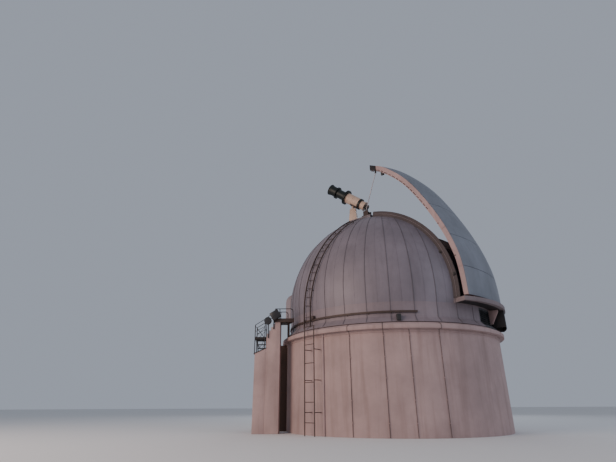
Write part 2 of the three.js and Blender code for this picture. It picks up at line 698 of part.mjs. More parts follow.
place(telescope, 'telescope_barrel', tubePart([[-330, 0], [-330, 443], [930, 443], [930, 0]]), 'cream');
function cradle() {
  const plate = block([-260, 330], [-220, 220], [TRUNNION.eye + 8, 300]);
  const lug = block([-60, 60], [-TRUNNION.lugHalf, TRUNNION.lugHalf], [-60, 120]);
  const pin = new THREE.CylinderGeometry(TRUNNION.pin, TRUNNION.pin, 330, 16);
  const tube = tubePart([[-600, 0], [-600, 443 + 2 * GAP], [1200, 443 + 2 * GAP], [1200, 0]]);
  return join(cut(join(plate, lug), tube), toSolid(pin));
}
place(telescope, 'telescope_cradle', cradle(), 'brown');
place(telescope, 'telescope_front', tubePart([
  [930 + GAP, 0], [930 + GAP, 635], [1090, 635], [1090, 385], [1940, 385], [1940, 520],
  [2060, 520], [2060, 410], [2450, 420], [2740, 490],
  [2740, 450], [2450, 380], [2150, 370], [2150, 0],
]), 'black');
place(telescope, 'telescope_cell', tubePart([
  [-930, 0], [-930, 400], [-850, 400], [-850, 355], [-450, 365],
  [-450, 465], [-330 - GAP, 465], [-330 - GAP, 0],
]), 'cream');
function eyepiece() {
  const knob = new THREE.SphereGeometry(75, 12, 8).translate(-1160, 0, TUBE_AXIS_OVER_PIVOT + 140);
  return join(
    tubePart([[-1180, 0], [-1180, 240], [-1040, 240], [-1040, 120], [-930 - GAP, 120], [-930 - GAP, 0]]),
    toSolid(knob));
}
place(telescope, 'telescope_eyepiece', eyepiece(), 'black');

// Shutter leaf: skin panels on two edge webs, ribs, tip and foot

const leafCurve = new THREE.SplineCurve([
  [9810, LEAF_FOOT], [9629, 2000], [8771, 4700], [7157, 7850], [5608, 9720], [4725, 10330], [3800, 10870],
].map(([r, z]) => new THREE.Vector2(r, z)));
const LEAF_LATHE = { phase: 90, facets: 72 };
const LEAF_STEPS = 14;
function leafLine(footDepth, tipDepth = footDepth) {
  const line = [];
  for (let i = 0; i <= LEAF_STEPS; i++) {
    const depth = footDepth + (tipDepth - footDepth) * i / LEAF_STEPS;
    const point = leafCurve.getPoint(i / LEAF_STEPS);
    const along = leafCurve.getTangent(i / LEAF_STEPS);
    line.push([point.x - along.y * depth, i === 0 ? LEAF_FOOT : point.y + along.x * depth]);
  }
  return line;
}
const leafTurned = (profile) => turned(profile, LEAF_LATHE).translate([LEAF_AXIS, 0, 0]);
const leafShell = (outer, ...inner) => leafTurned([...leafLine(outer), ...leafLine(...inner).reverse()]);
// All that lies outward of the oblique tip edge, or of a line at a distance from it
function tipFront(distance = 0) {
  const reach = 4000;
  const edge = (y) => [LEAF_TIP + (y + LEAF_HALF_WIDTH) * LEAF_TIP_SLOPE + distance, y];
  return plan([edge(-reach), [far, -reach], [far, reach], edge(reach)], -far, 2 * far);
}
const leafFront = (half, z0 = -far, z1 = 2 * far) => common(
  tipFront(), block([0, far], [-half, half], [z0, z1]));

const leafSkin = leafShell(0, LEAF_THICKNESS);
const leafBounds = [-far, ...LEAF_SEAMS, 2 * far];
for (let i = 0; i < 4; i++) {
  const region = leafFront(LEAF_HALF_WIDTH, leafBounds[i] + GAP / 2, leafBounds[i + 1] - GAP / 2);
  place(slit, `shutter_panel_${i + 1}`, common(leafSkin, region), 'leaf');
}
const leafWeb = leafShell(0, LEAF_DEPTH.foot, LEAF_DEPTH.tip);
const webSide = (y0, y1) => common(leafWeb, tipFront(), block([0, far], [y0, y1], [-far, 2 * far]));
const webAt = LEAF_HALF_WIDTH + GAP;
place(slit, 'shutter_web_near', webSide(-webAt - WEB_THICKNESS, -webAt), 'web');
place(slit, 'shutter_web_far', webSide(webAt, webAt + WEB_THICKNESS), 'web');

const ribZone = leafShell(LEAF_THICKNESS + GAP, LEAF_DEPTH.foot - 20, LEAF_DEPTH.tip - 20);
const ribWidth = LEAF_HALF_WIDTH - GAP;
LEAF_SEAMS.forEach((z, i) => {
  place(slit, `shutter_rib_${i + 1}`, common(ribZone, leafFront(ribWidth, z - 35, z + 35)), 'web');
});
place(slit, 'shutter_tip_beam', cut(common(ribZone, leafFront(ribWidth, 0)), tipFront(70)), 'dark');

function shutterFoot() {
  const beam = common(ribZone, leafFront(ribWidth, -far, LEAF_FOOT + 100));
  const inside = leafTurned([[0, -3000], [leafLine(LEAF_THICKNESS + GAP)[0][0], -3000],
    ...leafLine(LEAF_THICKNESS + GAP), [0, 11000]]);
  const solids = [];
  for (const y of HINGE_PLACES) {
    const outline = hingeArc(HINGE.eye, 180, 360);
    const top = LEAF_FOOT + 100;
    outline.push(
      new THREE.Vector2(HINGE.x + HINGE.eye, LEAF_FOOT + 20), new THREE.Vector2(7800, LEAF_FOOT + 20),
      new THREE.Vector2(7800, top), new THREE.Vector2(HINGE.x - HINGE.eye, top));
    solids.push(common(eyePlate(y, 46, outline), inside));
    solids.push(bar([HINGE.x, y - 66, HINGE.z], [HINGE.x, y + 66, HINGE.z], HINGE.pin, 16));
  }
  return join(beam, ...solids);
}
place(slit, 'shutter_foot', shutterFoot(), 'web');

function tipBlock() {
  const side = [[1250, 10420], [1250, 9980], [1720, 9760], [1720, 10190]];
  const beyond = [[1250, 10420], [1250, 9980], [1450, 9890], [1450, 10320]];
  const webFace = -webAt - WEB_THICKNESS - GAP;
  const hook = [[1640, 9850], [1640, 9560], [1760, 9560], [1760, 9850]];
  return join(
    upright(side, webFace - 50, webFace),
    cut(upright(beyond, webFace - 50, -2850), tipFront(-GAP)),
    upright(hook, webFace - 50, webFace - 5));
}
place(slit, 'shutter_tip_block', tipBlock(), 'dark');
place(slit, 'shutter_lamp', block(
  [2080, 2300], [-LEAF_HALF_WIDTH + GAP, -2860], [9300, 9650]), 'cream');

const ROPE = { radius: 28, top: [1700, -3088, 9600], bottom: [-480, -1190, 7830] };
place(slit, 'haul_rope', cut(
  bar(ROPE.top, ROPE.bottom, ROPE.radius),
  bar([WINCH.x, -1250, WINCH.z], [WINCH.x, -790, WINCH.z], WINCH.radius + 2 * GAP, 16),
  block([1500, 2000], [-3300, -2900], [9560 - GAP, 9800])), 'rope');

export default root;
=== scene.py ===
# %% [markdown]
# # An observatory dome, piece by piece
#
# The building is a round masonry drum that carries a turning steel dome. The dome's slit is open, and
# its long curved shutter has been tilted out over it. A telescope stands on the crown, and an access
# bridge reaches the dome on its left. The frame holds the exact solids: here each of them gets the
# form, the small parts and the paint of the real one. Metres, Z up, ground at zero.

# %% Opening the frame
import json
import math

import bpy
import bmesh
from mathutils import Matrix, Vector

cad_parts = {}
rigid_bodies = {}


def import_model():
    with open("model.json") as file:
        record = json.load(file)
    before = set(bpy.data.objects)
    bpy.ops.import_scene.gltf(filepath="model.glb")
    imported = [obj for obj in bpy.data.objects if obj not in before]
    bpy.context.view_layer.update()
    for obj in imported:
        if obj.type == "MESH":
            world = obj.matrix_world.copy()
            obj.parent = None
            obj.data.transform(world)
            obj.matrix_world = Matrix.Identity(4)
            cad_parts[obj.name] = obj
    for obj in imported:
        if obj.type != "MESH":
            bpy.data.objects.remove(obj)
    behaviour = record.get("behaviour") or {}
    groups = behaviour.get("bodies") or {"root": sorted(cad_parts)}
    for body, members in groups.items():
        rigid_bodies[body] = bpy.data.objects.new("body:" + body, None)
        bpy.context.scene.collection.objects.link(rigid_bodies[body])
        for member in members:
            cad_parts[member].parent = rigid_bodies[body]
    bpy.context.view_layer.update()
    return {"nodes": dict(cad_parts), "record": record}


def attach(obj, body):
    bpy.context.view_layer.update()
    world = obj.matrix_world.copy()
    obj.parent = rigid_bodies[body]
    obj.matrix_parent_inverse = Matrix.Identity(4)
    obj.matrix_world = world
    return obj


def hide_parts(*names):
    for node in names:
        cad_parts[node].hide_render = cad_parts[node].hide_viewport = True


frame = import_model()
for thing in bpy.context.selected_objects:
    thing.select_set(False)

# %% [markdown]
# Every part is easiest to model where it is simple: the drum round an upright axis, the curbs and the
# shutter in a frame whose X axis points out through the slit, the telescope along its tube. A frame is
# a matrix that the finished mesh is multiplied with, so the object itself stays at the origin.

# %% The frames of reference
SPRING = 7.9  # height of the dome's centre over the ground
SLIT_AZIMUTH = 50  # counted from the front towards the right, as all azimuths are
HATCH_AZIMUTH = -104
PIVOT = Vector((-1.9, 1.594, 9.18))  # the telescope's trunnion, from the dome's centre
STAND_TURN = 160
TUBE_TILT = -36.2


def turn(degrees, axis="Z"):
    """An anticlockwise turn round one of the three axes."""
    return Matrix.Rotation(math.radians(degrees), 4, axis)


def towards(azimuth):
    """The turn that points X away from the dome at an azimuth."""
    return turn(azimuth - 90)


WORLD = Matrix.Identity(4)
CENTRE = Matrix.Translation((0, 0, SPRING))
SLIT = CENTRE @ towards(SLIT_AZIMUTH)
HOOD = CENTRE @ towards(HATCH_AZIMUTH)
TUBE = CENTRE @ Matrix.Translation(PIVOT) @ turn(STAND_TURN) @ turn(TUBE_TILT, "Y")
print("slit points to", [round(x, 2) for x in SLIT.col[0][:2]])

# %% [markdown]
# A new mesh is drawn in edit mode. `begin` opens an empty one, `draw` pulls one vertex from point to
# point as a pen would and can close the line to a face, and `spin` turns the drawing round an axis.
# `slice_away` cuts with a plane, and `outward` closes the seams and points the faces out.

# %% Drawing in edit mode
def begin(name):
    """An empty mesh at the origin, open in edit mode."""
    bpy.ops.mesh.primitive_plane_add(size=1, location=(0, 0, 0))
    piece = bpy.context.object
    piece.name = name
    bpy.ops.object.mode_set(mode="EDIT")
    bpy.ops.mesh.delete(type="VERT")
    return piece


def pull(way):
    """Extrudes the selection along a way."""
    bpy.ops.mesh.extrude_region_move(TRANSFORM_OT_translate={"value": way})


def draw(points, closed=False):
    """A line pulled from point to point. Closed, it becomes a face."""
    points = [Vector(p) for p in points]
    bpy.ops.mesh.primitive_plane_add(size=0.02, location=points[0])
    bpy.ops.mesh.merge(type="CENTER")
    for a, b in zip(points, points[1:]):
        pull(b - a)
    bpy.ops.mesh.select_linked()
    if closed:
        bpy.ops.mesh.edge_face_add()


def spin(angle, steps, axis=(0, 0, 1), centre=(0, 0, 0)):
    """Turns the selection round an axis, anticlockwise. Without a window the tool runs the other way."""
    bpy.ops.mesh.spin(steps=steps, angle=-math.radians(angle), center=centre, axis=axis)


def outward():
    """Joins doubled vertices and points all faces outwards."""
    bpy.ops.mesh.select_all(action="SELECT")
    bpy.ops.mesh.remove_doubles(threshold=0.0002)
    bpy.ops.mesh.normals_make_consistent(inside=False)


def slice_away(point, direction, fill=False):
    """Cuts off all that lies on the direction's side of a plane."""
    bpy.ops.mesh.select_all(action="SELECT")
    bpy.ops.mesh.bisect(plane_co=point, plane_no=direction, use_fill=fill, clear_outer=True)


def solid_box(low, high, bevel):
    """A block between two corners, its edges broken by a bevel if there is one."""
    low, high = Vector(low), Vector(high)
    bpy.ops.mesh.primitive_cube_add(size=1, location=(0, 0, 0))
    bpy.ops.transform.resize(value=high - low, center_override=(0, 0, 0))
    bpy.ops.transform.translate(value=(low + high) / 2)
    if bevel:
        bpy.ops.mesh.bevel(offset=bevel, segments=2, affect="EDGES")


print("drawing tools ready")

# %% [markdown]
# Every mesh is finished the same way: it leaves edit mode, is set in its place, smoothed and painted,
# and is tied to the body that it moves with. The last names say which solids of the frame it stands
# for: those are then hidden.

# %% Finishing a piece
SMOOTH = math.radians(32)  # faces that meet at less than this are shaded as one surface


def object_mode():
    """Leaves edit mode if a mesh is open."""
    if bpy.context.mode != "OBJECT":
        bpy.ops.object.mode_set(mode="OBJECT")


def select_only(piece):
    """Selects one piece and makes it the active one."""
    bpy.ops.object.select_all(action="DESELECT")
    piece.select_set(True)
    bpy.context.view_layer.objects.active = piece


def apply_modifier(piece, kind, **settings):
    """Adds a modifier, sets it and applies it."""
    object_mode()
    bpy.context.view_layer.objects.active = piece
    modifier = piece.modifiers.new(kind.title(), kind)
    for key, value in settings.items():
        setattr(modifier, key, value)
    bpy.ops.object.modifier_apply(modifier=modifier.name)


def finish(piece, place, body, paint, slot, *stands_for):
    """Sets the mesh in its place, smooths it, paints it and ties it to its body."""
    object_mode()
    piece.data.transform(place)
    select_only(piece)
    bpy.ops.object.shade_smooth_by_angle(angle=SMOOTH)
    piece.data.materials.clear()
    piece.data.materials.append(paint)
    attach(piece, body)
    if stands_for:
        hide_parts(*stands_for)
    piece.select_set(False)
    print(f"{piece.name}: {len(piece.data.polygons)} faces")


print("finishing tools ready")

# %% [markdown]
# What repeats is modelled once and copied, each copy with a mesh of its own. Round bar is drawn as
# lines, made a curve that has a thickness, and made a mesh again. A solid of the frame that is right
# as it stands is copied too, cleaned of its extra triangles and given broken edges.

# %% Copies, round bar and reworked solids
def twin_of(piece):
    """A copy with a mesh of its own."""
    twin = piece.copy()
    twin.data = piece.data.copy()
    bpy.context.scene.collection.objects.link(twin)
    return twin


def together(pieces):
    """Joins pieces to the first of them, which keeps its name."""
    bpy.ops.object.select_all(action="DESELECT")
    for piece in pieces:
        piece.select_set(True)
    bpy.context.view_layer.objects.active = pieces[0]
    bpy.ops.object.join()
    return pieces[0]


def copies(piece, placings):
    """Copies of a piece, one at each placing, joined to one piece that takes its name."""
    object_mode()
    twins = []
    for placing in placings:
        twins.append(twin_of(piece))
        twins[-1].data.transform(placing)
    name = piece.name
    bpy.data.objects.remove(piece)
    joined = together(twins)
    joined.name = name
    return joined


def pipes(name, lines, radius, roundness=2):
    """Round bar bent along lines."""
    piece = begin(name)
    for points in lines:
        bpy.ops.mesh.select_all(action="DESELECT")
        draw(points)
    object_mode()
    select_only(piece)
    bpy.ops.object.convert(target="CURVE")
    curve = bpy.context.object.data
    curve.bevel_depth = radius
    curve.bevel_resolution = roundness
    curve.use_fill_caps = True
    bpy.ops.object.convert(target="MESH")
    bpy.ops.object.mode_set(mode="EDIT")
    outward()
    object_mode()
    return bpy.context.object


def reworked(node, bevel):
    """A copy of a solid of the frame, cleaned and with its edges broken."""
    piece = twin_of(frame["nodes"][node])
    for key in list(piece.keys()):
        del piece[key]
    piece.parent = None
    piece.name = f"{node}_form"
    select_only(piece)
    bpy.ops.object.mode_set(mode="EDIT")
    bpy.ops.mesh.select_all(action="SELECT")
    bpy.ops.mesh.remove_doubles(threshold=0.0001)
    bpy.ops.mesh.dissolve_limited(angle_limit=math.radians(1))
    apply_modifier(piece, "BEVEL", width=bevel, segments=2, limit_method="ANGLE",
                   angle_limit=math.radians(30))
    return piece


print("copying tools ready")

# %% [markdown]
# ## Finishes
#
# Everything here has stood in the weather. A paint is one base colour that large soft clouds lighten
# and darken, a second pattern stretched upright that stands for rain streaks, and fine grain in the
# roughness and the bump. All patterns read object coordinates, so they stay put on the piece. On the
# dome and its skirt each half gore is also darkened by a random share: painted shade that stands for
# the faceted gores, each catching the light a little differently.

# %% The paint shop
CLOUD_SCALE = 0.45
STREAK_SCALE, STREAK_STRETCH = 2.6, (1.0, 1.0, 0.07)
RUST_SCALE, RUST = 5.5, (0.17, 0.065, 0.03)
PALER, DEEPER = 1.16, 0.80  # how far the clouds lighten and darken a colour
HALF_GORES = 64
FIRST_SEAM = 2.6  # azimuth of one of the seams between gores
COUNT_FROM = 100  # keeps the count of half gores above zero all round


def gore_chance(nodes, links, place):
    """A random value for each half gore, found from the direction in which a point lies."""
    def reckon(operation, *sources):
        node = nodes.new("ShaderNodeMath")
        node.operation = operation
        for socket, source in zip(node.inputs, sources):
            if isinstance(source, float):
                socket.default_value = source
            else:
                links.new(source, socket)
        return node.outputs[0]

    split = nodes.new("ShaderNodeSeparateXYZ")
    links.new(place, split.inputs["Vector"])
    bearing = reckon("ARCTAN2", split.outputs["Y"], split.outputs["X"])
    first = COUNT_FROM - HALF_GORES * (FIRST_SEAM - 90) / 360
    count = reckon("FLOOR", reckon("MULTIPLY_ADD", bearing, HALF_GORES / (2 * math.pi), first))
    chance = nodes.new("ShaderNodeTexWhiteNoise")
    chance.noise_dimensions = "1D"
    links.new(count, chance.inputs["W"])
    return chance.outputs["Value"]


def painted(name, base, dirt_and_shade, streak=0.35, cloud=0.5, rust=0.0, roughness=0.55, metal=0.0,
            grain=0.0015, grain_size=38.0, gore_shade_bands=0.0):
    """A weathered paint. Returns the material."""
    material = bpy.data.materials.new(name)
    material.use_nodes = True
    nodes, links = material.node_tree.nodes, material.node_tree.links
    shader = nodes["Principled BSDF"]
    shader.inputs["Metallic"].default_value = metal
    place = nodes.new("ShaderNodeTexCoord").outputs["Object"]

    def noise(scale, stretch=None, detail=5.0):
        node = nodes.new("ShaderNodeTexNoise")
        node.inputs["Scale"].default_value = scale
        node.inputs["Detail"].default_value = detail
        node.inputs["Roughness"].default_value = 0.6
        source = place
        if stretch:
            mapping = nodes.new("ShaderNodeMapping")
            mapping.inputs["Scale"].default_value = stretch
            links.new(place, mapping.inputs["Vector"])
            source = mapping.outputs["Vector"]
        links.new(source, node.inputs["Vector"])
        return node.outputs["Fac"]

    def ramp(value, low, high, bottom=0.0, top=1.0):
        node = nodes.new("ShaderNodeMapRange")
        for key, number in (("From Min", low), ("From Max", high), ("To Min", bottom), ("To Max", top)):
            node.inputs[key].default_value = number
        links.new(value, node.inputs["Value"])
        return node.outputs["Result"]

    def mix(factor, first, second):
        node = nodes.new("ShaderNodeMix")
        node.data_type = "RGBA"
        links.new(factor, node.inputs["Factor"])
        for socket, colour in ((6, first), (7, second)):
            if isinstance(colour, tuple):
                node.inputs[socket].default_value = (*colour, 1)
            else:
                links.new(colour, node.inputs[socket])
        return node.outputs[2]

    pale = tuple(min(1.0, c * PALER) for c in base)
    deep = tuple(c * DEEPER for c in base)
    reach = 0.2 / cloud * 0.5
    colour = mix(ramp(noise(CLOUD_SCALE), 0.5 - reach, 0.5 + reach), deep, pale)
    if streak:
        colour = mix(ramp(noise(STREAK_SCALE, STREAK_STRETCH), 0.5, 0.78, 0.0, streak), colour, dirt_and_shade)
    if rust:
        colour = mix(ramp(noise(RUST_SCALE, detail=8.0), 0.60, 0.72, 0.0, rust), colour, RUST)
    # Painted shade: each half gore is darkened by a random share, for the faceted gores catching the light
    # differently.
    if gore_shade_bands:
        colour = mix(ramp(gore_chance(nodes, links, place), 0, 1, 0, gore_shade_bands), colour, dirt_and_shade)
    links.new(colour, shader.inputs["Base Color"])
    fine = noise(grain_size, detail=6.0)
    links.new(ramp(fine, 0.3, 0.7, roughness - 0.08, min(1.0, roughness + 0.12)),
              shader.inputs["Roughness"])
    bump = nodes.new("ShaderNodeBump")
    bump.inputs["Distance"].default_value = grain
    bump.inputs["Strength"].default_value = 0.6
    links.new(fine, bump.inputs["Height"])
    links.new(bump.outputs["Normal"], shader.inputs["Normal"])
    return material


print("paint shop ready")

# %% [markdown]
# Each finish is a base colour and a darker second colour: the colour of its dirt, which on the dome
# and skirt is also the painted shade between gores. Masonry is rough and coarse in the grain, the black
# tube smooth, and the steelwork rusts where its paint is thin.

# %% The finishes
# The dome and skirt carry painted shade that changes from one half gore to the next.
dome_paint = painted("dome_paint", (0.212, 0.180, 0.205), (0.125, 0.101, 0.112), streak=0.45, cloud=0.45,
                     roughness=0.52, metal=0.15, gore_shade_bands=0.22)
skirt_paint = painted("skirt_paint", (0.236, 0.188, 0.204), (0.135, 0.102, 0.110), streak=0.5, cloud=0.45,
                      roughness=0.55, metal=0.1, gore_shade_bands=0.15)
# The seams are darker than the dome: partly dirt in the folds, partly painted shadow along the raised
# strips.
seam_paint = painted("seam_paint", (0.120, 0.100, 0.112), (0.08, 0.065, 0.075), roughness=0.6, metal=0.1)
faint_seam_paint = painted("faint_seam_paint", (0.185, 0.156, 0.178), (0.10, 0.09, 0.10), metal=0.1)
render_coat = painted("render_coat", (0.425, 0.302, 0.288), (0.23, 0.148, 0.132), streak=0.5, cloud=0.45,
                      roughness=0.86, grain=0.004, grain_size=22)
concrete = painted("concrete", (0.26, 0.245, 0.24), (0.16, 0.14, 0.13), roughness=0.9, grain=0.004)
leaf_paint = painted("leaf_paint", (0.196, 0.205, 0.236), (0.128, 0.126, 0.142), streak=0.45, cloud=0.5,
                     roughness=0.48, metal=0.2)
web_paint = painted("web_paint", (0.430, 0.290, 0.275), (0.22, 0.13, 0.11), streak=0.35, rust=0.25,
                    roughness=0.6)
dark_steel = painted("dark_steel", (0.028, 0.024, 0.024), (0.05, 0.035, 0.03), rust=0.35, roughness=0.6,
                     metal=0.3)
brown_steel = painted("brown_steel", (0.070, 0.045, 0.038), (0.035, 0.022, 0.02), rust=0.5, roughness=0.62,
                      metal=0.25)
lamp_paint = painted("lamp_paint", (0.034, 0.033, 0.034), (0.02, 0.018, 0.016), rust=0.2, roughness=0.5,
                     metal=0.3)
lamp_glass = painted("lamp_glass", (0.028, 0.027, 0.028), (0.02, 0.018, 0.016), streak=0.0, roughness=0.30)
cream_paint = painted("cream_paint", (0.640, 0.455, 0.345), (0.33, 0.20, 0.14), streak=0.3, rust=0.2,
                      roughness=0.45)
black_paint = painted("black_paint", (0.012, 0.016, 0.015), (0.02, 0.025, 0.022), roughness=0.42, metal=0.3)
curb_paint = painted("curb_paint", (0.062, 0.046, 0.048), (0.03, 0.02, 0.02), rust=0.35, roughness=0.6,
                     metal=0.2)
rope_finish = painted("rope_finish", (0.62, 0.54, 0.55), (0.3, 0.24, 0.22), roughness=0.7, grain_size=90)
# The ledge's paint is the web's pink made darker: partly its own colour, partly painted shade for the
# ledge's front face, which turns away from the light.
ledge_paint = painted("ledge_paint", (0.215, 0.165, 0.168), (0.11, 0.08, 0.078), streak=0.35, rust=0.2,
                      roughness=0.62)
louvre_paint = painted("louvre_paint", (0.070, 0.074, 0.080), (0.035, 0.034, 0.034), roughness=0.6,
                       metal=0.2)
# Near black: painted shade for the inside of the rivet holes.
hole_shade = painted("hole_shade", (0.008, 0.007, 0.007), (0.01, 0.01, 0.01), streak=0, roughness=0.9)
print("finishes:", len(bpy.data.materials))

# %% [markdown]
# A plain solid of the frame that is shown as it is still needs its paint. The slot in the record says
# which, so a table from slot to paint dresses them all at once.

# %% Painting the solids of the frame
PAINT_OF = {
    "skin": dome_paint, "masonry": render_coat, "concrete": concrete, "leaf_skin": leaf_paint,
    "edge_web": web_paint, "dark_steel": dark_steel, "brown_steel": brown_steel,
    "lamp_metal": lamp_paint, "cream_paint": cream_paint, "black_paint": black_paint,
    "rope": rope_finish,
}
SLOT_OF = {part["node"]: part["material_slot"] for part in frame["record"]["subparts"]}
for node, slot in SLOT_OF.items():
    solid = frame["nodes"][node]
    solid.data.materials.clear()
    solid.data.materials.append(PAINT_OF[slot])
print("painted", len(frame["nodes"]), "solids")

# %% [markdown]
# ## The drum and its cornice
#
# The drum is rendered masonry. Its section never changes, so half of that section, drawn once, is spun
# round the axis: a lathe form, smoother and cleaner than stacking rings.

# %% Drum and cornice
ROUND = 128  # steps of a full turn
WALL_INNER, WALL_OUTER = 6.75, 7.2
WALL_TOP = -2.45
WALL_BAND = 7.23  # the wall's head is a little thicker
CORNICE_RADIUS = 7.518
CORNICE_TOP = -2.091
TRACK = -2.19  # the flat ring inside the cornice, on which the dome's skirt runs


def lathe(name, section, steps=ROUND, closed=True):
    """A section of (radius, height) spun all round. An open one starts and ends on the axis."""
    piece = begin(name)
    draw([(r, 0, z) for r, z in section], closed)
    if closed:
        bpy.ops.mesh.delete(type="ONLY_FACE")
        bpy.ops.mesh.select_all(action="SELECT")
    spin(360, steps)
    outward()
    return piece


wall = lathe("drum_wall", [
    (WALL_INNER, -SPRING), (WALL_OUTER, -SPRING), (WALL_OUTER, -SPRING + 0.02),
    (WALL_OUTER, WALL_TOP - 0.16), (WALL_BAND, WALL_TOP - 0.15), (WALL_BAND, WALL_TOP - 0.001),
    (WALL_INNER, WALL_TOP - 0.001)])
finish(wall, CENTRE, "building", render_coat, "masonry", "drum_wall_front", "drum_wall_back")
cornice = lathe("cornice", [
    (WALL_INNER, WALL_TOP), (7.49, WALL_TOP), (7.508, WALL_TOP + 0.01), (CORNICE_RADIUS, WALL_TOP + 0.03),
    (CORNICE_RADIUS, -2.245), (7.51, -2.226), (7.274, -2.10), (7.255, CORNICE_TOP), (7.0, CORNICE_TOP),
    (7.0, TRACK), (WALL_INNER, TRACK)])
finish(cornice, CENTRE, "building", render_coat, "masonry", "cornice_front", "cornice_back")

# %% [markdown]
# Thin conduits and one thicker downpipe run down the drum, held by saddles. All conduits but one come
# over the cornice's edge first. Each is a line pulled along its way and given a thickness.

# %% Conduits on the drum
CONDUITS = (-28.2, -12.8, -1.6, 12.0)
SHORT_CONDUIT = -1.6  # the one that starts under the cornice
DOWNPIPE = -42.3
PIPE_FOOT = -SPRING + 0.02
OVER_CORNICE = [(7.29, -2.094), (7.512, -2.218), (7.53, -2.25), (7.53, WALL_TOP - 0.004)]
DOWN_WALL = [(7.235, WALL_TOP - 0.016), (7.235, PIPE_FOOT)]
SADDLE_HEIGHTS = (-2.8, -3.9, -5.0, -6.1, -7.2)
CONDUIT_RADIUS, DOWNPIPE_RADIUS = 0.014, 0.05


def pipe_line(azimuth, way):
    """A way of (radius, height) down the drum at an azimuth."""
    return [towards(azimuth) @ Vector((r, 0, z)) for r, z in way]


conduits = pipes("conduits", [
    pipe_line(a, DOWN_WALL if a == SHORT_CONDUIT else OVER_CORNICE + DOWN_WALL) for a in CONDUITS],
    CONDUIT_RADIUS)
finish(conduits, CENTRE, "building", brown_steel, "brown_steel")
downpipe = pipes("downpipe", [pipe_line(DOWNPIPE, [(7.25, WALL_TOP - 0.01), (7.25, PIPE_FOOT)])],
                 DOWNPIPE_RADIUS)
finish(downpipe, CENTRE, "building", render_coat, "masonry")

saddle = begin("saddles")
solid_box((WALL_OUTER, -0.045, -0.02), (WALL_OUTER + 0.062, 0.045, 0.02), 0.006)
saddles = copies(saddle, [towards(a) @ Matrix.Translation((0, 0, z))
                          for a in CONDUITS + (DOWNPIPE,) for z in SADDLE_HEIGHTS])
finish(saddles, CENTRE, "building", render_coat, "masonry")

# %% [markdown]
# ## The dome's skin
#
# The dome is closed with 32 sheet-metal gores, each folded once more along its middle. One meridian
# is spun round the axis, the slit is cut out with planes, and a Solidify modifier gives the sheet its
# wall. Three regions are kept: one on each side of the slit and one behind the slit's end.

# %% The dome shell
RADIUS = 7.0
SHELL_WALL = 0.1
SHELL_FOOT = -0.85
FOOT_ANGLE = math.degrees(math.asin(SHELL_FOOT / RADIUS))
CURB_INNER, CURB_OUTER = 2.85, 3.1
SLIT_END = 79  # degrees over the crown from the front
REAR = math.radians(SLIT_END)
REGIONS = {
    "near": [((0, -CURB_OUTER - 0.001, 0), (0, 1, 0))],
    "far": [((0, CURB_OUTER + 0.001, 0), (0, -1, 0))],
    "rear": [((0, CURB_OUTER, 0), (0, 1, 0)), ((0, -CURB_OUTER, 0), (0, -1, 0)),
             ((0, 0, 0), (math.sin(REAR), 0, -math.cos(REAR)))],
}
SEAM_IN_SLIT = FIRST_SEAM + 90 - SLIT_AZIMUTH  # the same seam, counted from the slit frame's -Y
HATCH_OPENING = ((5.5, -0.6, -0.25), (7.6, 0.6, 1.3))
MERIDIAN_STEPS = 30


def meridian():
    """Points up the dome's meridian, from its foot to the crown."""
    span = 90 - FOOT_ANGLE
    angles = [math.radians(FOOT_ANGLE + span * i / MERIDIAN_STEPS) for i in range(MERIDIAN_STEPS + 1)]
    return [(RADIUS * math.cos(a), 0, RADIUS * math.sin(a)) for a in angles]


def kept_region(piece, planes):
    """A copy of the piece, cut off at the planes."""
    twin = twin_of(piece)
    select_only(twin)
    bpy.ops.object.mode_set(mode="EDIT")
    for point, direction in planes:
        slice_away(point, direction)
    object_mode()
    return twin


ball = begin("ball")
draw(meridian())
spin(360, ROUND)
outward()
object_mode()
ball.data.transform(towards(SEAM_IN_SLIT))

hatch_cut = begin("hatch_cut")
solid_box(*HATCH_OPENING, bevel=0)
object_mode()
hatch_cut.data.transform(SLIT.inverted() @ HOOD)
for side, planes in REGIONS.items():
    shell = kept_region(ball, planes)
    shell.name = f"dome_shell_{side}"
    apply_modifier(shell, "SOLIDIFY", thickness=SHELL_WALL, offset=-1)
    if side != "far":
        apply_modifier(shell, "BOOLEAN", object=hatch_cut, operation="DIFFERENCE", solver="EXACT")
    finish(shell, SLIT, "dome", dome_paint, "skin", f"shell_{side}")
bpy.data.objects.remove(ball)
bpy.data.objects.remove(hatch_cut)

# %% [markdown]
# Along each edge of a gore stands a folded seam, and along its middle a fainter one. A seam is a small
# upright rectangle spun up the meridian round a level axis; the ring of seams is that one copied, and
# the slit's planes cut the ring as they cut the shell.

# %% Seams of the gores
GORES = HALF_GORES // 2
GORE = 360 / GORES
SEAM_TOP = 86  # the seams end a little before the crown
SEAM_FOOT = RADIUS - 0.004  # they stand in the sheet
SEAM_STEPS = 22


def seam_ring(name, places, width, height):
    """Upright strips up the meridians at the given azimuths of the slit's frame."""
    strip = begin(name)
    low = math.radians(FOOT_ANGLE)
    corners = ((0, -width / 2), (height, -width / 2), (height, width / 2), (0, width / 2))
    draw([((SEAM_FOOT + h) * math.cos(low), w, (SEAM_FOOT + h) * math.sin(low)) for h, w in corners],
         closed=True)
    spin(SEAM_TOP - FOOT_ANGLE, SEAM_STEPS, axis=(0, -1, 0))
    outward()
    return copies(strip, [towards(a) for a in places])


def dress_regions(ring, paint):
    """Cuts a ring of seams at the slit and keeps the three regions."""
    for side, planes in REGIONS.items():
        part = kept_region(ring, planes)
        part.name = f"{ring.name}_{side}"
        finish(part, SLIT, "dome", paint, "skin")
    bpy.data.objects.remove(ring)


edges = [SEAM_IN_SLIT + GORE * i for i in range(GORES)]
middles = [a + GORE / 2 for a in edges]
dress_regions(seam_ring("gore_seams", edges, width=0.028, height=0.026), seam_paint)
dress_regions(seam_ring("fold_seams", middles, width=0.022, height=0.012), faint_seam_paint)

# %% [markdown]
# The skirt under the shell is an upright band that flares out over the cornice. It is open where the
# sill's bay is: spinning its section through less than a full turn leaves that gap without any cutting.

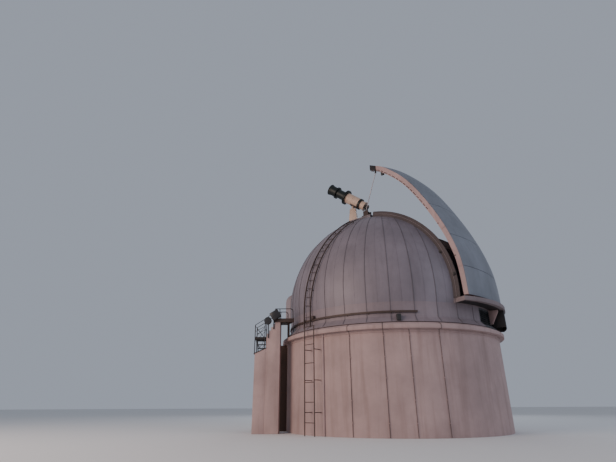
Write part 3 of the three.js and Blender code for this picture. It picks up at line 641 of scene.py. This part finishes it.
# %% Skirt and its seams
BAY_HALF = 7.7  # half the bay's width, in degrees
SKIRT_SECTION = [(6.84, -2.185), (6.9, -2.185), (6.9, -2.05), (7.208, -2.05), (7.225, -2.038),
                 (7.229, -2.02), (7.215, -2.003), (6.942, -1.713), (6.93, -1.69), (6.93, -1.0),
                 (6.945, SHELL_FOOT), (6.845, SHELL_FOOT), (6.83, -1.0)]
RIDGE_SECTION = [(6.92, -0.852), (6.95, -0.852), (6.95, -1.693), (7.236, -1.994), (7.222, -2.02),
                 (6.92, -1.71)]
RIDGE_WIDTH = 0.028
SKIRT_STEPS = 124

skirt = begin("dome_skirt")
draw([turn(BAY_HALF) @ Vector((r, 0, z)) for r, z in SKIRT_SECTION], closed=True)
spin(360 - 2 * BAY_HALF, SKIRT_STEPS)
outward()
finish(skirt, SLIT, "dome", skirt_paint, "skin", "dome_skirt_near", "dome_skirt_far")

ridge = begin("skirt_seams")
draw([(r, -RIDGE_WIDTH / 2, z) for r, z in RIDGE_SECTION], closed=True)
pull((0, RIDGE_WIDTH, 0))
outward()
clear_of_bay = [a for a in edges if abs((a - 90 + 180) % 360 - 180) > BAY_HALF + 1]
skirt_seams = copies(ridge, [towards(a) for a in clear_of_bay])
finish(skirt_seams, SLIT, "dome", seam_paint, "skin")

# %% [markdown]
# ## The curbs of the slit
#
# A curb stands along each side of the slit and carries teeth and a rail for the shutter. Its section
# is a rectangle spun over the crown round the axis that runs across the slit.

# %% Curbs, their rails and teeth
CURB_LOW, CURB_STEP, CURB_HIGH = 6.2, 6.56, 6.666
CURB_START = -6.2
CURB_FOOT = -0.559
RAIL_LOW, RAIL_HIGH = 6.445, 6.465
RAIL_START = -4
RAIL_REACH = 1.008  # how far the rail stands out of the curb's side
CURB_STEPS, RAIL_STEPS = 56, 50
TOOTH_ANGLES = range(0, 77, 4)


def over_the_crown(name, section, angle_from, angle_to, steps):
    """A section of (radius, across) spun over the crown, from an angle over the front horizon."""
    piece = begin(name)
    a = math.radians(angle_from)
    draw([(r * math.cos(a), y, r * math.sin(a)) for r, y in section], closed=True)
    spin(angle_to - angle_from, steps, axis=(0, -1, 0))
    outward()
    return piece


for side, sign in (("near", -1), ("far", 1)):
    inner, outer = sign * CURB_INNER, sign * CURB_OUTER
    middle = (inner + outer) / 2
    curb = over_the_crown(f"slit_curb_{side}_form", [
        (CURB_LOW, inner), (CURB_STEP, inner), (CURB_STEP, middle), (CURB_HIGH, middle),
        (CURB_HIGH, outer), (CURB_LOW, outer)], CURB_START, SLIT_END, CURB_STEPS)
    slice_away((0, 0, CURB_FOOT), (0, 0, -1), fill=True)
    outward()
    finish(curb, SLIT, "dome", curb_paint, "brown_steel", f"slit_curb_{side}")

    lip = outer * RAIL_REACH
    rail = over_the_crown(f"curb_rail_{side}", [
        (RAIL_LOW, outer), (RAIL_LOW, lip), (RAIL_HIGH, lip), (RAIL_HIGH, outer)],
        RAIL_START, SLIT_END - 1, RAIL_STEPS)
    finish(rail, SLIT, "dome", ledge_paint, "edge_web")

    tooth = begin(f"curb_teeth_{side}")
    solid_box((CURB_STEP - 0.01, min(inner, middle), -0.07), (CURB_STEP + 0.08, max(inner, middle), 0.07),
              0.012)
    teeth = copies(tooth, [turn(-a, "Y") for a in TOOTH_ANGLES])
    finish(teeth, SLIT, "dome", dark_steel, "dark_steel")

# %% [markdown]
# Two short brackets on the near curb's outer side hold a guide roller each for the shutter's web. A
# bracket is a small block, and its roller a short cylinder on the outer face.

# %% Guide rollers on the near curb
ROLLER_PLACES = ((5.81, 2.40), (6.48, 0.87))
ROLLER_RADIUS, ROLLER_WIDTH = 0.055, 0.03
BRACKET_BACK, BRACKET_FACE = -CURB_OUTER - 0.0005, -3.17
ROLLER_MIDDLE = -3.184
ACROSS = (math.pi / 2, 0, 0)  # turns a cylinder's axis across the slit

for i, (x, z) in enumerate(ROLLER_PLACES):
    bracket = begin(f"curb_roller_{i + 1}")
    solid_box((x - 0.07, BRACKET_FACE, z - 0.09), (x + 0.05, BRACKET_BACK, z + 0.09), 0.01)
    bpy.ops.mesh.primitive_cylinder_add(vertices=24, radius=ROLLER_RADIUS, depth=ROLLER_WIDTH,
                                        rotation=ACROSS, location=(x + 0.02, ROLLER_MIDDLE, z))
    outward()
    finish(bracket, SLIT, "dome", dark_steel, "dark_steel")

# %% [markdown]
# ## The shutter
#
# The shutter is a strip of a larger, taller shell. Its meridian is a smooth curve through measured
# points, spun round an upright axis behind the dome's own and cut by planes: one along each edge and an
# oblique one at the tip. Each panel is that shell between two heights, thickened by Solidify.

# %% The meridian of the shutter
LEAF_POINTS = [(9.81, -0.44), (9.629, 2.0), (8.771, 4.7), (7.157, 7.85), (5.608, 9.72), (4.725, 10.33),
               (3.8, 10.87)]
LEAF_LINE_STEPS = 40
LEAF_AXIS = -2.2
LEAF_HALF = 3.0
LEAF_SWEEP = 54  # degrees that are spun to each side
LEAF_STEPS = 54
LEAF_TIP = 1.4  # distance of the tip's near corner from the dome's axis
TIP_SLOPE = 0.267


def leaf_at(t):
    """Point and direction of the meridian, t from 0 at the foot to 1 at the tip."""
    last = len(LEAF_POINTS) - 1
    whole = min(int(t * last), last - 1)
    w = t * last - whole
    corner = [Vector(LEAF_POINTS[max(0, min(last, whole + k))]) for k in (-1, 0, 1, 2)]
    a, b = (corner[2] - corner[0]) / 2, (corner[3] - corner[1]) / 2
    p, q = corner[1], corner[2]
    point = (2 * p - 2 * q + a + b) * w ** 3 + (-3 * p + 3 * q - 2 * a - b) * w * w + a * w + p
    slope = (2 * p - 2 * q + a + b) * 3 * w * w + (-3 * p + 3 * q - 2 * a - b) * 2 * w + a
    return point, slope.normalized()


def leaf_line(depth_foot, depth_tip):
    """The meridian, moved inwards by a depth that changes from foot to tip."""
    line = []
    for i in range(LEAF_LINE_STEPS + 1):
        share = i / LEAF_LINE_STEPS
        point, along = leaf_at(share)
        depth = depth_foot + (depth_tip - depth_foot) * share
        z = point.y + along.x * depth if i else point.y
        line.append((point.x - along.y * depth, z))
    return line


leaf = begin("leaf_shell")
draw([turn(-LEAF_SWEEP) @ Vector((r, 0, z)) for r, z in leaf_line(0, 0)])
spin(2 * LEAF_SWEEP, LEAF_STEPS)
outward()
bpy.ops.transform.translate(value=(LEAF_AXIS, 0, 0))
for plane in (((0, LEAF_HALF, 0), (0, 1, 0)), ((0, -LEAF_HALF, 0), (0, -1, 0)),
              ((LEAF_TIP, -LEAF_HALF, 0), (-1, TIP_SLOPE, 0))):
    slice_away(*plane)
object_mode()
print("leaf shell", len(leaf.data.polygons), "faces")

# %% [markdown]
# Where two panels meet the paint has cracked open, and the gap shows as a dark line. So every panel is
# cut a little short at its seam, and the rib behind shows through.

# %% Panels of the shutter
LEAF_SEAMS = (1.33, 3.5, 5.95)
LEAF_WALL = 0.06
HALF_GAP = 0.014
panel_ends = (-1.0,) + LEAF_SEAMS + (12.0,)
for i, (foot, head) in enumerate(zip(panel_ends, panel_ends[1:])):
    panel = kept_region(leaf, [((0, 0, foot + HALF_GAP), (0, 0, -1)), ((0, 0, head - HALF_GAP), (0, 0, 1))])
    panel.name = f"leaf_panel_{i + 1}"
    apply_modifier(panel, "SOLIDIFY", thickness=LEAF_WALL, offset=-1)
    apply_modifier(panel, "BEVEL", width=0.008, segments=2, limit_method="ANGLE",
                   angle_limit=math.radians(50))
    finish(panel, SLIT, "shutter", leaf_paint, "leaf_skin", f"shutter_panel_{i + 1}")
bpy.data.objects.remove(leaf)

# %% [markdown]
# The web along each edge is a plate that follows the same curve. In its own upright plane the curve is
# narrower, because the shell is round, so each point's distance is worked out with Pythagoras. The
# plate is a face whose outline is two curves, extruded to its thickness.

# %% Edge webs
WEB = 0.06  # thickness of a web
WEB_DEPTH = (0.25, 0.42)  # at the foot and at the tip
WEB_STATIONS = 44


def web_points(y, depth_foot, depth_tip, count):
    """The meridian where it crosses an upright plane at y, as evenly spread (x, z) up to the tip."""
    tip = LEAF_TIP + TIP_SLOPE * (y + LEAF_HALF)
    line = [Vector((LEAF_AXIS + math.sqrt(r * r - y * y), z)) for r, z in leaf_line(depth_foot, depth_tip)]
    beyond = next(i for i, p in enumerate(line) if p.x < tip)
    a, b = line[beyond - 1], line[beyond]
    line = line[:beyond] + [a + (b - a) * (a.x - tip) / (a.x - b.x)]
    lengths = [0.0]
    for a, b in zip(line, line[1:]):
        lengths.append(lengths[-1] + (b - a).length)
    result = []
    for i in range(count + 1):
        want = lengths[-1] * i / count
        k = max(j for j in range(len(lengths) - 1) if lengths[j] <= want + 1e-9)
        share = (want - lengths[k]) / (lengths[k + 1] - lengths[k])
        result.append(line[k] + (line[k + 1] - line[k]) * share)
    return result


for side, sign in (("near", -1), ("far", 1)):
    web = begin(f"edge_web_{side}")
    y0, y1 = sign * (LEAF_HALF + 0.0003), sign * (LEAF_HALF + WEB)
    middle = (y0 + y1) / 2
    outer = web_points(middle, 0, 0, WEB_STATIONS)
    inner = web_points(middle, *WEB_DEPTH, WEB_STATIONS)
    draw([(p.x, y0, p.y) for p in outer + inner[::-1]], closed=True)
    pull((0, y1 - y0, 0))
    outward()
    finish(web, SLIT, "shutter", web_paint, "edge_web", f"shutter_web_{side}")

# %% [markdown]
# Near the tip the web's inner edge is punched with rivet holes, some of them empty. Small near-black heads
# set along the edge are painted shade: from the ground they read as the dark inside of those holes, and
# they stay as geometry from near by.

# %% Rivets along the web
WEB_FACE = -LEAF_HALF - WEB
RIVET_DEPTH = (0.195, 0.345)
RIVET_PLACES = 110
rivet = begin("web_rivets_near")
bpy.ops.mesh.primitive_cylinder_add(vertices=10, radius=0.035, depth=0.02, rotation=ACROSS)
bpy.ops.mesh.select_all(action="DESELECT")
edit = bmesh.from_edit_mesh(rivet.data)
for face in edit.faces:
    face.select = face.normal.y < -0.9
bmesh.update_edit_mesh(rivet.data)
bpy.ops.mesh.inset(thickness=0.012, depth=0.008)
spots = web_points(WEB_FACE, *RIVET_DEPTH, RIVET_PLACES)
row_at_tip = [i for i in range(56, 106) if i % 7 not in (2, 5)]
single_heads = [22, 44]
rivets = copies(rivet, [
    Matrix.Translation((spots[i].x, WEB_FACE - 0.006, spots[i].y)) for i in row_at_tip + single_heads])
finish(rivets, SLIT, "shutter", hole_shade, "dark_steel")

# %% [markdown]
# The webs are made up of three lengths each, joined by cover straps with a row of bolts.

# %% Straps over the web joints
STRAP_SHARES = (0.14, 0.36)  # how far up the web, as a share of its length
STRAP_HALF, STRAP_WALL = 0.045, 0.012
STRAP_BOLTS = [0.14 + 0.24 * i for i in range(4)]  # shares of the way across the web
STRAP_EDGES = ((0.012, 0.012), (0.238, 0.408))  # depths at the foot and at the tip
STRAP_STATIONS = 200


def web_strap(name, sign, share):
    """A flat strap across a web, its long side square to the curve."""
    y = sign * (LEAF_HALF + WEB)
    place = round(share * STRAP_STATIONS)
    outer_at, inner_at = (web_points(y, *depth, STRAP_STATIONS)[place] for depth in STRAP_EDGES)
    across = (inner_at - outer_at).normalized()
    along = Vector((-across.y, across.x)) * STRAP_HALF
    strap = begin(name)
    rim = [outer_at - along, outer_at + along, inner_at + along, inner_at - along]
    draw([(p.x, y, p.y) for p in rim], closed=True)
    pull((0, sign * STRAP_WALL, 0))
    for bolt in STRAP_BOLTS:
        spot = outer_at + (inner_at - outer_at) * bolt
        bpy.ops.mesh.primitive_cylinder_add(vertices=6, radius=0.016, depth=0.02, rotation=ACROSS,
                                            location=(spot.x, y + sign * 0.02, spot.y))
    outward()
    finish(strap, SLIT, "shutter", web_paint, "edge_web")


for side, sign in (("near", -1), ("far", 1)):
    for i, share in enumerate(STRAP_SHARES):
        web_strap(f"web_strap_{side}_{i + 1}", sign, share)

# %% [markdown]
# ## The telescope
#
# The tube is a lathe form on its own axis. Its parts are drawn as (distance, radius) sections and spun
# round the tube's axis, which lies a little over the trunnion.

# %% The telescope's tube
AXIS_HEIGHT = 0.537
TUBE_STEPS = 48


def tube_piece(name, section):
    """A closed section of (along, radius) spun round the tube's axis."""
    piece = begin(name)
    draw([(x, 0, AXIS_HEIGHT + r) for x, r in section], closed=True)
    bpy.ops.mesh.delete(type="ONLY_FACE")
    bpy.ops.mesh.select_all(action="SELECT")
    spin(360, TUBE_STEPS, axis=(1, 0, 0), centre=(0, 0, AXIS_HEIGHT))
    outward()
    return piece


barrel = tube_piece("tube_barrel", [
    (-0.33, 0), (-0.33, 0.435), (-0.322, 0.443), (0.25, 0.443), (0.256, 0.437), (0.264, 0.437),
    (0.27, 0.443), (0.922, 0.443), (0.93, 0.435), (0.93, 0)])
finish(barrel, TUBE, "telescope", cream_paint, "cream_paint", "telescope_barrel")
front = tube_piece("tube_front", [
    (0.9303, 0), (0.9303, 0.625), (0.94, 0.635), (0.99, 0.635), (1.0, 0.6), (1.03, 0.6), (1.04, 0.635),
    (1.08, 0.635), (1.09, 0.625), (1.09, 0.385), (1.94, 0.385), (1.94, 0.51), (1.95, 0.52),
    (2.05, 0.52), (2.06, 0.51), (2.06, 0.41), (2.45, 0.42), (2.6, 0.445), (2.73, 0.488), (2.74, 0.485),
    (2.735, 0.452), (2.6, 0.41), (2.45, 0.38), (2.15, 0.37), (2.15, 0)])
finish(front, TUBE, "telescope", black_paint, "black_paint", "telescope_front")
cell = tube_piece("tube_cell", [
    (-0.93, 0), (-0.93, 0.39), (-0.92, 0.4), (-0.86, 0.4), (-0.85, 0.39), (-0.85, 0.355), (-0.45, 0.365),
    (-0.45, 0.455), (-0.44, 0.465), (-0.34, 0.465), (-0.3303, 0.455), (-0.3303, 0)])
finish(cell, TUBE, "telescope", cream_paint, "cream_paint", "telescope_cell")
collar = tube_piece("cell_collar", [
    (-0.50, 0.34), (-0.50, 0.465), (-0.49, 0.475), (-0.33, 0.475), (-0.32, 0.465), (-0.32, 0.42)])
finish(collar, TUBE, "telescope", black_paint, "black_paint")

# %% [markdown]
# A cream knob sits behind the cell. The bolts on the flanges are one small six-sided head, copied round
# the tube's axis.

# %% Knob and bolts of the telescope
KNOB_PLACE, KNOB_RADIUS = (-1.16, 0, AXIS_HEIGHT + 0.14), 0.078
HEAD_RADIUS, HEAD_HEIGHT = 0.022, 0.03
FLANGES = {"front_ring_bolts": (1.10, 0.56, 16), "muzzle_ring_bolts": (2.07, 0.465, 12),
           "cell_ring_bolts": (-0.51, 0.43, 12)}  # distance along the tube, radius, number of heads

knob = begin("focus_knob")
bpy.ops.mesh.primitive_uv_sphere_add(segments=24, ring_count=12, radius=KNOB_RADIUS, location=KNOB_PLACE)
finish(knob, TUBE, "telescope", cream_paint, "cream_paint")
for name, (x, radius, count) in FLANGES.items():
    head = begin(name)
    bpy.ops.mesh.primitive_cylinder_add(vertices=6, radius=HEAD_RADIUS, depth=HEAD_HEIGHT,
                                        rotation=(0, math.pi / 2, 0), location=(0, 0, radius))
    bpy.ops.mesh.bevel(offset=0.004, segments=1, affect="EDGES")
    bolts = copies(head, [Matrix.Translation((x, 0, AXIS_HEIGHT)) @ turn(360 * i / count, "X")
                          for i in range(count)])
    finish(bolts, TUBE, "telescope", lamp_paint, "lamp_metal")

# %% [markdown]
# ## Steelwork and the bridge
#
# Pieces whose exact solid is already right only need what every rolled or cast edge has: a small
# bevel that catches the light. The solid is copied, flat faces are merged, and a Bevel modifier is
# applied. Three of them are painted unlike the rest of their slot.

# %% Breaking the edges of plain solids
BEVELS = {
    "building": {"bridge_pier": 0.012, "low_wall": 0.012, "link_wall": 0.01, "bridge_deck": 0.004,
                 "low_roof": 0.006, "stair_flight": 0.003, "floodlight_square": 0.02},
    "dome": {"hatch_hood": 0.012, "hatch_door": 0.005, "crown_platform": 0.006, "rope_winch": 0.006,
             "telescope_pedestal": 0.01, "sill_ledge": 0.008, "bay_louvre": 0.003,
             "drive_housing": 0.008, "skirt_lamp": 0.012},
    "shutter": {"shutter_tip_block": 0.006, "shutter_lamp": 0.01, "shutter_tip_beam": 0.004},
}
# The sill ledge's darker paint is partly painted shade.
OWN_PAINT = {"crown_platform": (dome_paint, "skin"), "sill_ledge": (ledge_paint, "edge_web"),
             "bay_louvre": (louvre_paint, "dark_steel")}
for body, pieces in BEVELS.items():
    for node, bevel in pieces.items():
        paint, slot = OWN_PAINT.get(node, (PAINT_OF[SLOT_OF[node]], SLOT_OF[node]))
        finish(reworked(node, bevel), WORLD, body, paint, slot, node)

# %% [markdown]
# A thin dark sheet under the ledge is painted shade: it darkens the ledge's underside, which lies in shade.
# A wedge-shaped bracket stands under the ledge beside the bay. The sheet is a ring's sector: a strip
# pulled outwards and spun through the angle that the ledge takes.

# %% Painted shade under the ledge, and its bracket
LEDGE_HALF = 25.0  # half the ledge's width, in degrees
SHADE_SHEET_SECTION = ((7.03, -0.822), (7.64, -0.822), (7.64, -0.812), (7.03, -0.812))
WEDGE_SECTION = ((6.935, -1.70), (6.935, -0.83), (7.52, -0.83), (7.52, -0.95), (7.10, -1.70))
WEDGE_SIDE, WEDGE_WIDTH = 0.62, 0.07
SHADE_SHEET_STEPS = 24

# A dark sheet of painted shade closes the ledge's underside.
shade_sheet = begin("ledge_shade_sheet")
draw([turn(-LEDGE_HALF) @ Vector((r, 0, z)) for r, z in SHADE_SHEET_SECTION], closed=True)
spin(BAY_HALF + LEDGE_HALF, SHADE_SHEET_STEPS)
outward()
finish(shade_sheet, SLIT, "dome", dark_steel, "dark_steel")

wedge = begin("bay_bracket")
draw([(x, WEDGE_SIDE, z) for x, z in WEDGE_SECTION], closed=True)
pull((0, WEDGE_WIDTH, 0))
bpy.ops.mesh.select_all(action="SELECT")
bpy.ops.mesh.bevel(offset=0.006, segments=2, affect="EDGES")
outward()
finish(wedge, SLIT, "dome", web_paint, "edge_web")

# %% [markdown]
# The bridge's railings are round bar. Each is drawn as lines in space, bent where the bar is bent, and
# given its thickness; small plates sit where a post meets the deck.

# %% Railings of the bridge
DECK = -1.2
POST_FOOT = DECK + 0.001
RAILING_TOP = -0.42
END_POST, MIDDLE_POST = -7.9, -7.6
BEND = ((0.16, 0), (0.10, 0.012), (0.048, 0.048), (0.012, 0.10), (0, 0.16))  # way to go, way down
RAILING_RADIUS = 0.025

for side, y, last in (("front", -2.97, -6.735), ("back", -1.93, -7.11)):
    bend = [(last - left, y, RAILING_TOP - down) for left, down in BEND]
    railing = pipes(f"railing_{side}", [
        [(END_POST, y, POST_FOOT), (END_POST, y, RAILING_TOP - 0.01), (END_POST + 0.01, y, RAILING_TOP),
         *bend, (last, y, POST_FOOT)],
        [(MIDDLE_POST, y, POST_FOOT), (MIDDLE_POST, y, RAILING_TOP)]], RAILING_RADIUS, roundness=4)
    plate = begin(f"railing_plates_{side}")
    solid_box((-0.05, -0.028, 0), (0.05, 0.028, 0.012), 0.003)
    plates = copies(plate, [Matrix.Translation((x, y, DECK + 0.0005))
                            for x in (END_POST, MIDDLE_POST, last)])
    finish(together([railing, plates]), CENTRE, "building", dark_steel, "dark_steel",
           f"bridge_railing_{side}")

# %% [markdown]
# The ladder on the drum stands half a metre off the wall. Its sides, rungs and stays are three lots of
# round bar of different thickness, and each stay ends in a small plate on the wall.

# %% Ladder on the drum
LADDER_SIDES = (-50.2, -44.3)
STAND_OFF = 7.75
LADDER_TOP = -1.94
RUNGS, RUNG_SPACING = 6, 1.05
SIDE_RADIUS, RUNG_RADIUS, STAY_RADIUS = 0.03, 0.02, 0.022
STAY_HEIGHTS = (-3.3, -5.0, -6.7)


def on_azimuth(azimuth, radius, z):
    """A point at an azimuth."""
    a = math.radians(azimuth)
    return Vector((radius * math.sin(a), -radius * math.cos(a), z))


sides = pipes("wall_ladder_form", [
    [on_azimuth(a, STAND_OFF, -SPRING + 0.001), on_azimuth(a, STAND_OFF, LADDER_TOP)]
    for a in LADDER_SIDES], SIDE_RADIUS, roundness=4)
rungs = pipes("wall_ladder_rungs", [
    [on_azimuth(a, STAND_OFF, LADDER_TOP - 0.03 - RUNG_SPACING * i) for a in LADDER_SIDES]
    for i in range(RUNGS)], RUNG_RADIUS, roundness=3)
stays = pipes("wall_ladder_stays", [
    [on_azimuth(a, WALL_OUTER + 0.002, z), on_azimuth(a, STAND_OFF, z)]
    for a in LADDER_SIDES for z in STAY_HEIGHTS], STAY_RADIUS, roundness=3)
finish(together([sides, rungs, stays]), CENTRE, "building", brown_steel, "brown_steel", "wall_ladder")
foot_plate = begin("wall_ladder_plates")
solid_box((WALL_OUTER, -0.06, -0.06), (WALL_OUTER + 0.012, 0.06, 0.06), 0.003)
plates = copies(foot_plate, [towards(a) @ Matrix.Translation((0, 0, z))
                             for a in LADDER_SIDES for z in STAY_HEIGHTS])
finish(plates, CENTRE, "building", render_coat, "masonry")

# %% [markdown]
# Both floodlights have a front glass in a raised rim. The square one leans, so its parts are built level
# and turned with a matrix. The round one is two lathe forms, a body and a slightly crowned glass.

# %% Floodlights
SQUARE_LAMP = CENTRE @ Matrix.Translation((-7.88, -3.235, -0.86)) @ turn(-32, "Y")
ROUND_LAMP = CENTRE @ Matrix.Translation((-8.35, -3.205, -1.24)) @ turn(90, "X")
LAMP_STEPS = 48

rim = begin("square_lamp_rim")
solid_box((-0.297, -0.022, -0.267), (0.297, 0.004, 0.267), 0.01)
finish(rim, SQUARE_LAMP, "building", lamp_paint, "lamp_metal")
glass = begin("square_lamp_glass")
solid_box((-0.262, -0.027, -0.232), (0.262, -0.015, 0.232), 0.004)
finish(glass, SQUARE_LAMP, "building", lamp_glass, "lamp_metal")
round_form = lathe("round_lamp_form", [
    (0.0, -0.2), (0.15, -0.2), (0.23, -0.12), (0.24, -0.1), (0.24, 0.012), (0.235, 0.018), (0.222, 0.018),
    (0.215, 0.006), (0.215, 0.0), (0.0, 0.0)], LAMP_STEPS, closed=False)
finish(round_form, ROUND_LAMP, "building", lamp_paint, "lamp_metal")
round_glass = lathe("round_lamp_glass", [
    (0.0, 0.014), (0.1, 0.012), (0.214, 0.003), (0.214, 0.0), (0.0, 0.0)], LAMP_STEPS, closed=False)
finish(round_glass, ROUND_LAMP, "building", lamp_glass, "lamp_metal")
lamp_post = begin("round_lamp_post")
solid_box((-8.35, -3.06, -2.3), (-8.29, -3.0005, -1.3), 0.006)
finish(lamp_post, CENTRE, "building", lamp_paint, "lamp_metal", "floodlight_round")

# %% [markdown]
# ## Light, floor and camera
#
# The floor is a plain pale sheet. One large soft lamp stands on the left, where the warm light comes
# from, two weaker ones on the right and behind, and a pale sky fills the shade.

# %% Studio
FLOOR_COLOUR, FLOOR_ROUGHNESS = (0.72, 0.71, 0.70, 1), 0.9
SKY_COLOUR, SKY_STRENGTH = (0.60, 0.66, 0.78, 1), 0.55
LAMP_AIM = Vector((0, 0, 8))
LAMPS = {  # place, size, power and colour
    "warm_left": ((-34, -26, 16), 22, 9000, (1.0, 0.80, 0.68)),
    "cool_right": ((30, -26, 22), 26, 3200, (0.80, 0.87, 1.0)),
    "back_light": ((6, 38, 26), 26, 3500, (0.85, 0.90, 1.0)),
}

bpy.ops.mesh.primitive_plane_add(size=400, location=(0, 0, -0.002))
floor = bpy.context.object
floor.name = "studio_floor"
pale = bpy.data.materials.new("studio_floor")
pale.use_nodes = True
pale.node_tree.nodes["Principled BSDF"].inputs["Base Color"].default_value = FLOOR_COLOUR
pale.node_tree.nodes["Principled BSDF"].inputs["Roughness"].default_value = FLOOR_ROUGHNESS
floor.data.materials.append(pale)

sky = bpy.data.worlds.new("studio_sky")
bpy.context.scene.world = sky
sky.use_nodes = True
sky.node_tree.nodes["Background"].inputs["Color"].default_value = SKY_COLOUR
sky.node_tree.nodes["Background"].inputs["Strength"].default_value = SKY_STRENGTH

for name, (place, size, power, colour) in LAMPS.items():
    bpy.ops.object.light_add(type="AREA", location=place)
    lamp = bpy.context.object
    lamp.name = name
    lamp.data.size = size
    lamp.data.energy = power
    lamp.data.color = colour
    lamp.rotation_euler = (LAMP_AIM - Vector(place)).to_track_quat("-Z", "Y").to_euler()
print("soft lamps:", len(LAMPS))

# %% [markdown]
# The camera stands on the ground at eye height, to the left of the front, and looks up at the dome.

# %% Camera
EYE = (-5.719, -30.653, 1.607)
PITCH, ROLL = 112.46, -0.28
SENSOR_WIDTH, LENS = 36, 24.55
FAR_END = 1000

camera_data = bpy.data.cameras.new("camera")
camera_data.sensor_width = SENSOR_WIDTH
camera_data.lens = LENS
camera_data.clip_end = FAR_END
camera = bpy.data.objects.new("camera", camera_data)
bpy.context.scene.collection.objects.link(camera)
camera.matrix_world = Matrix.Translation(EYE) @ turn(PITCH, "X") @ turn(ROLL)
bpy.context.scene.camera = camera
print("camera at", [round(x, 2) for x in EYE])
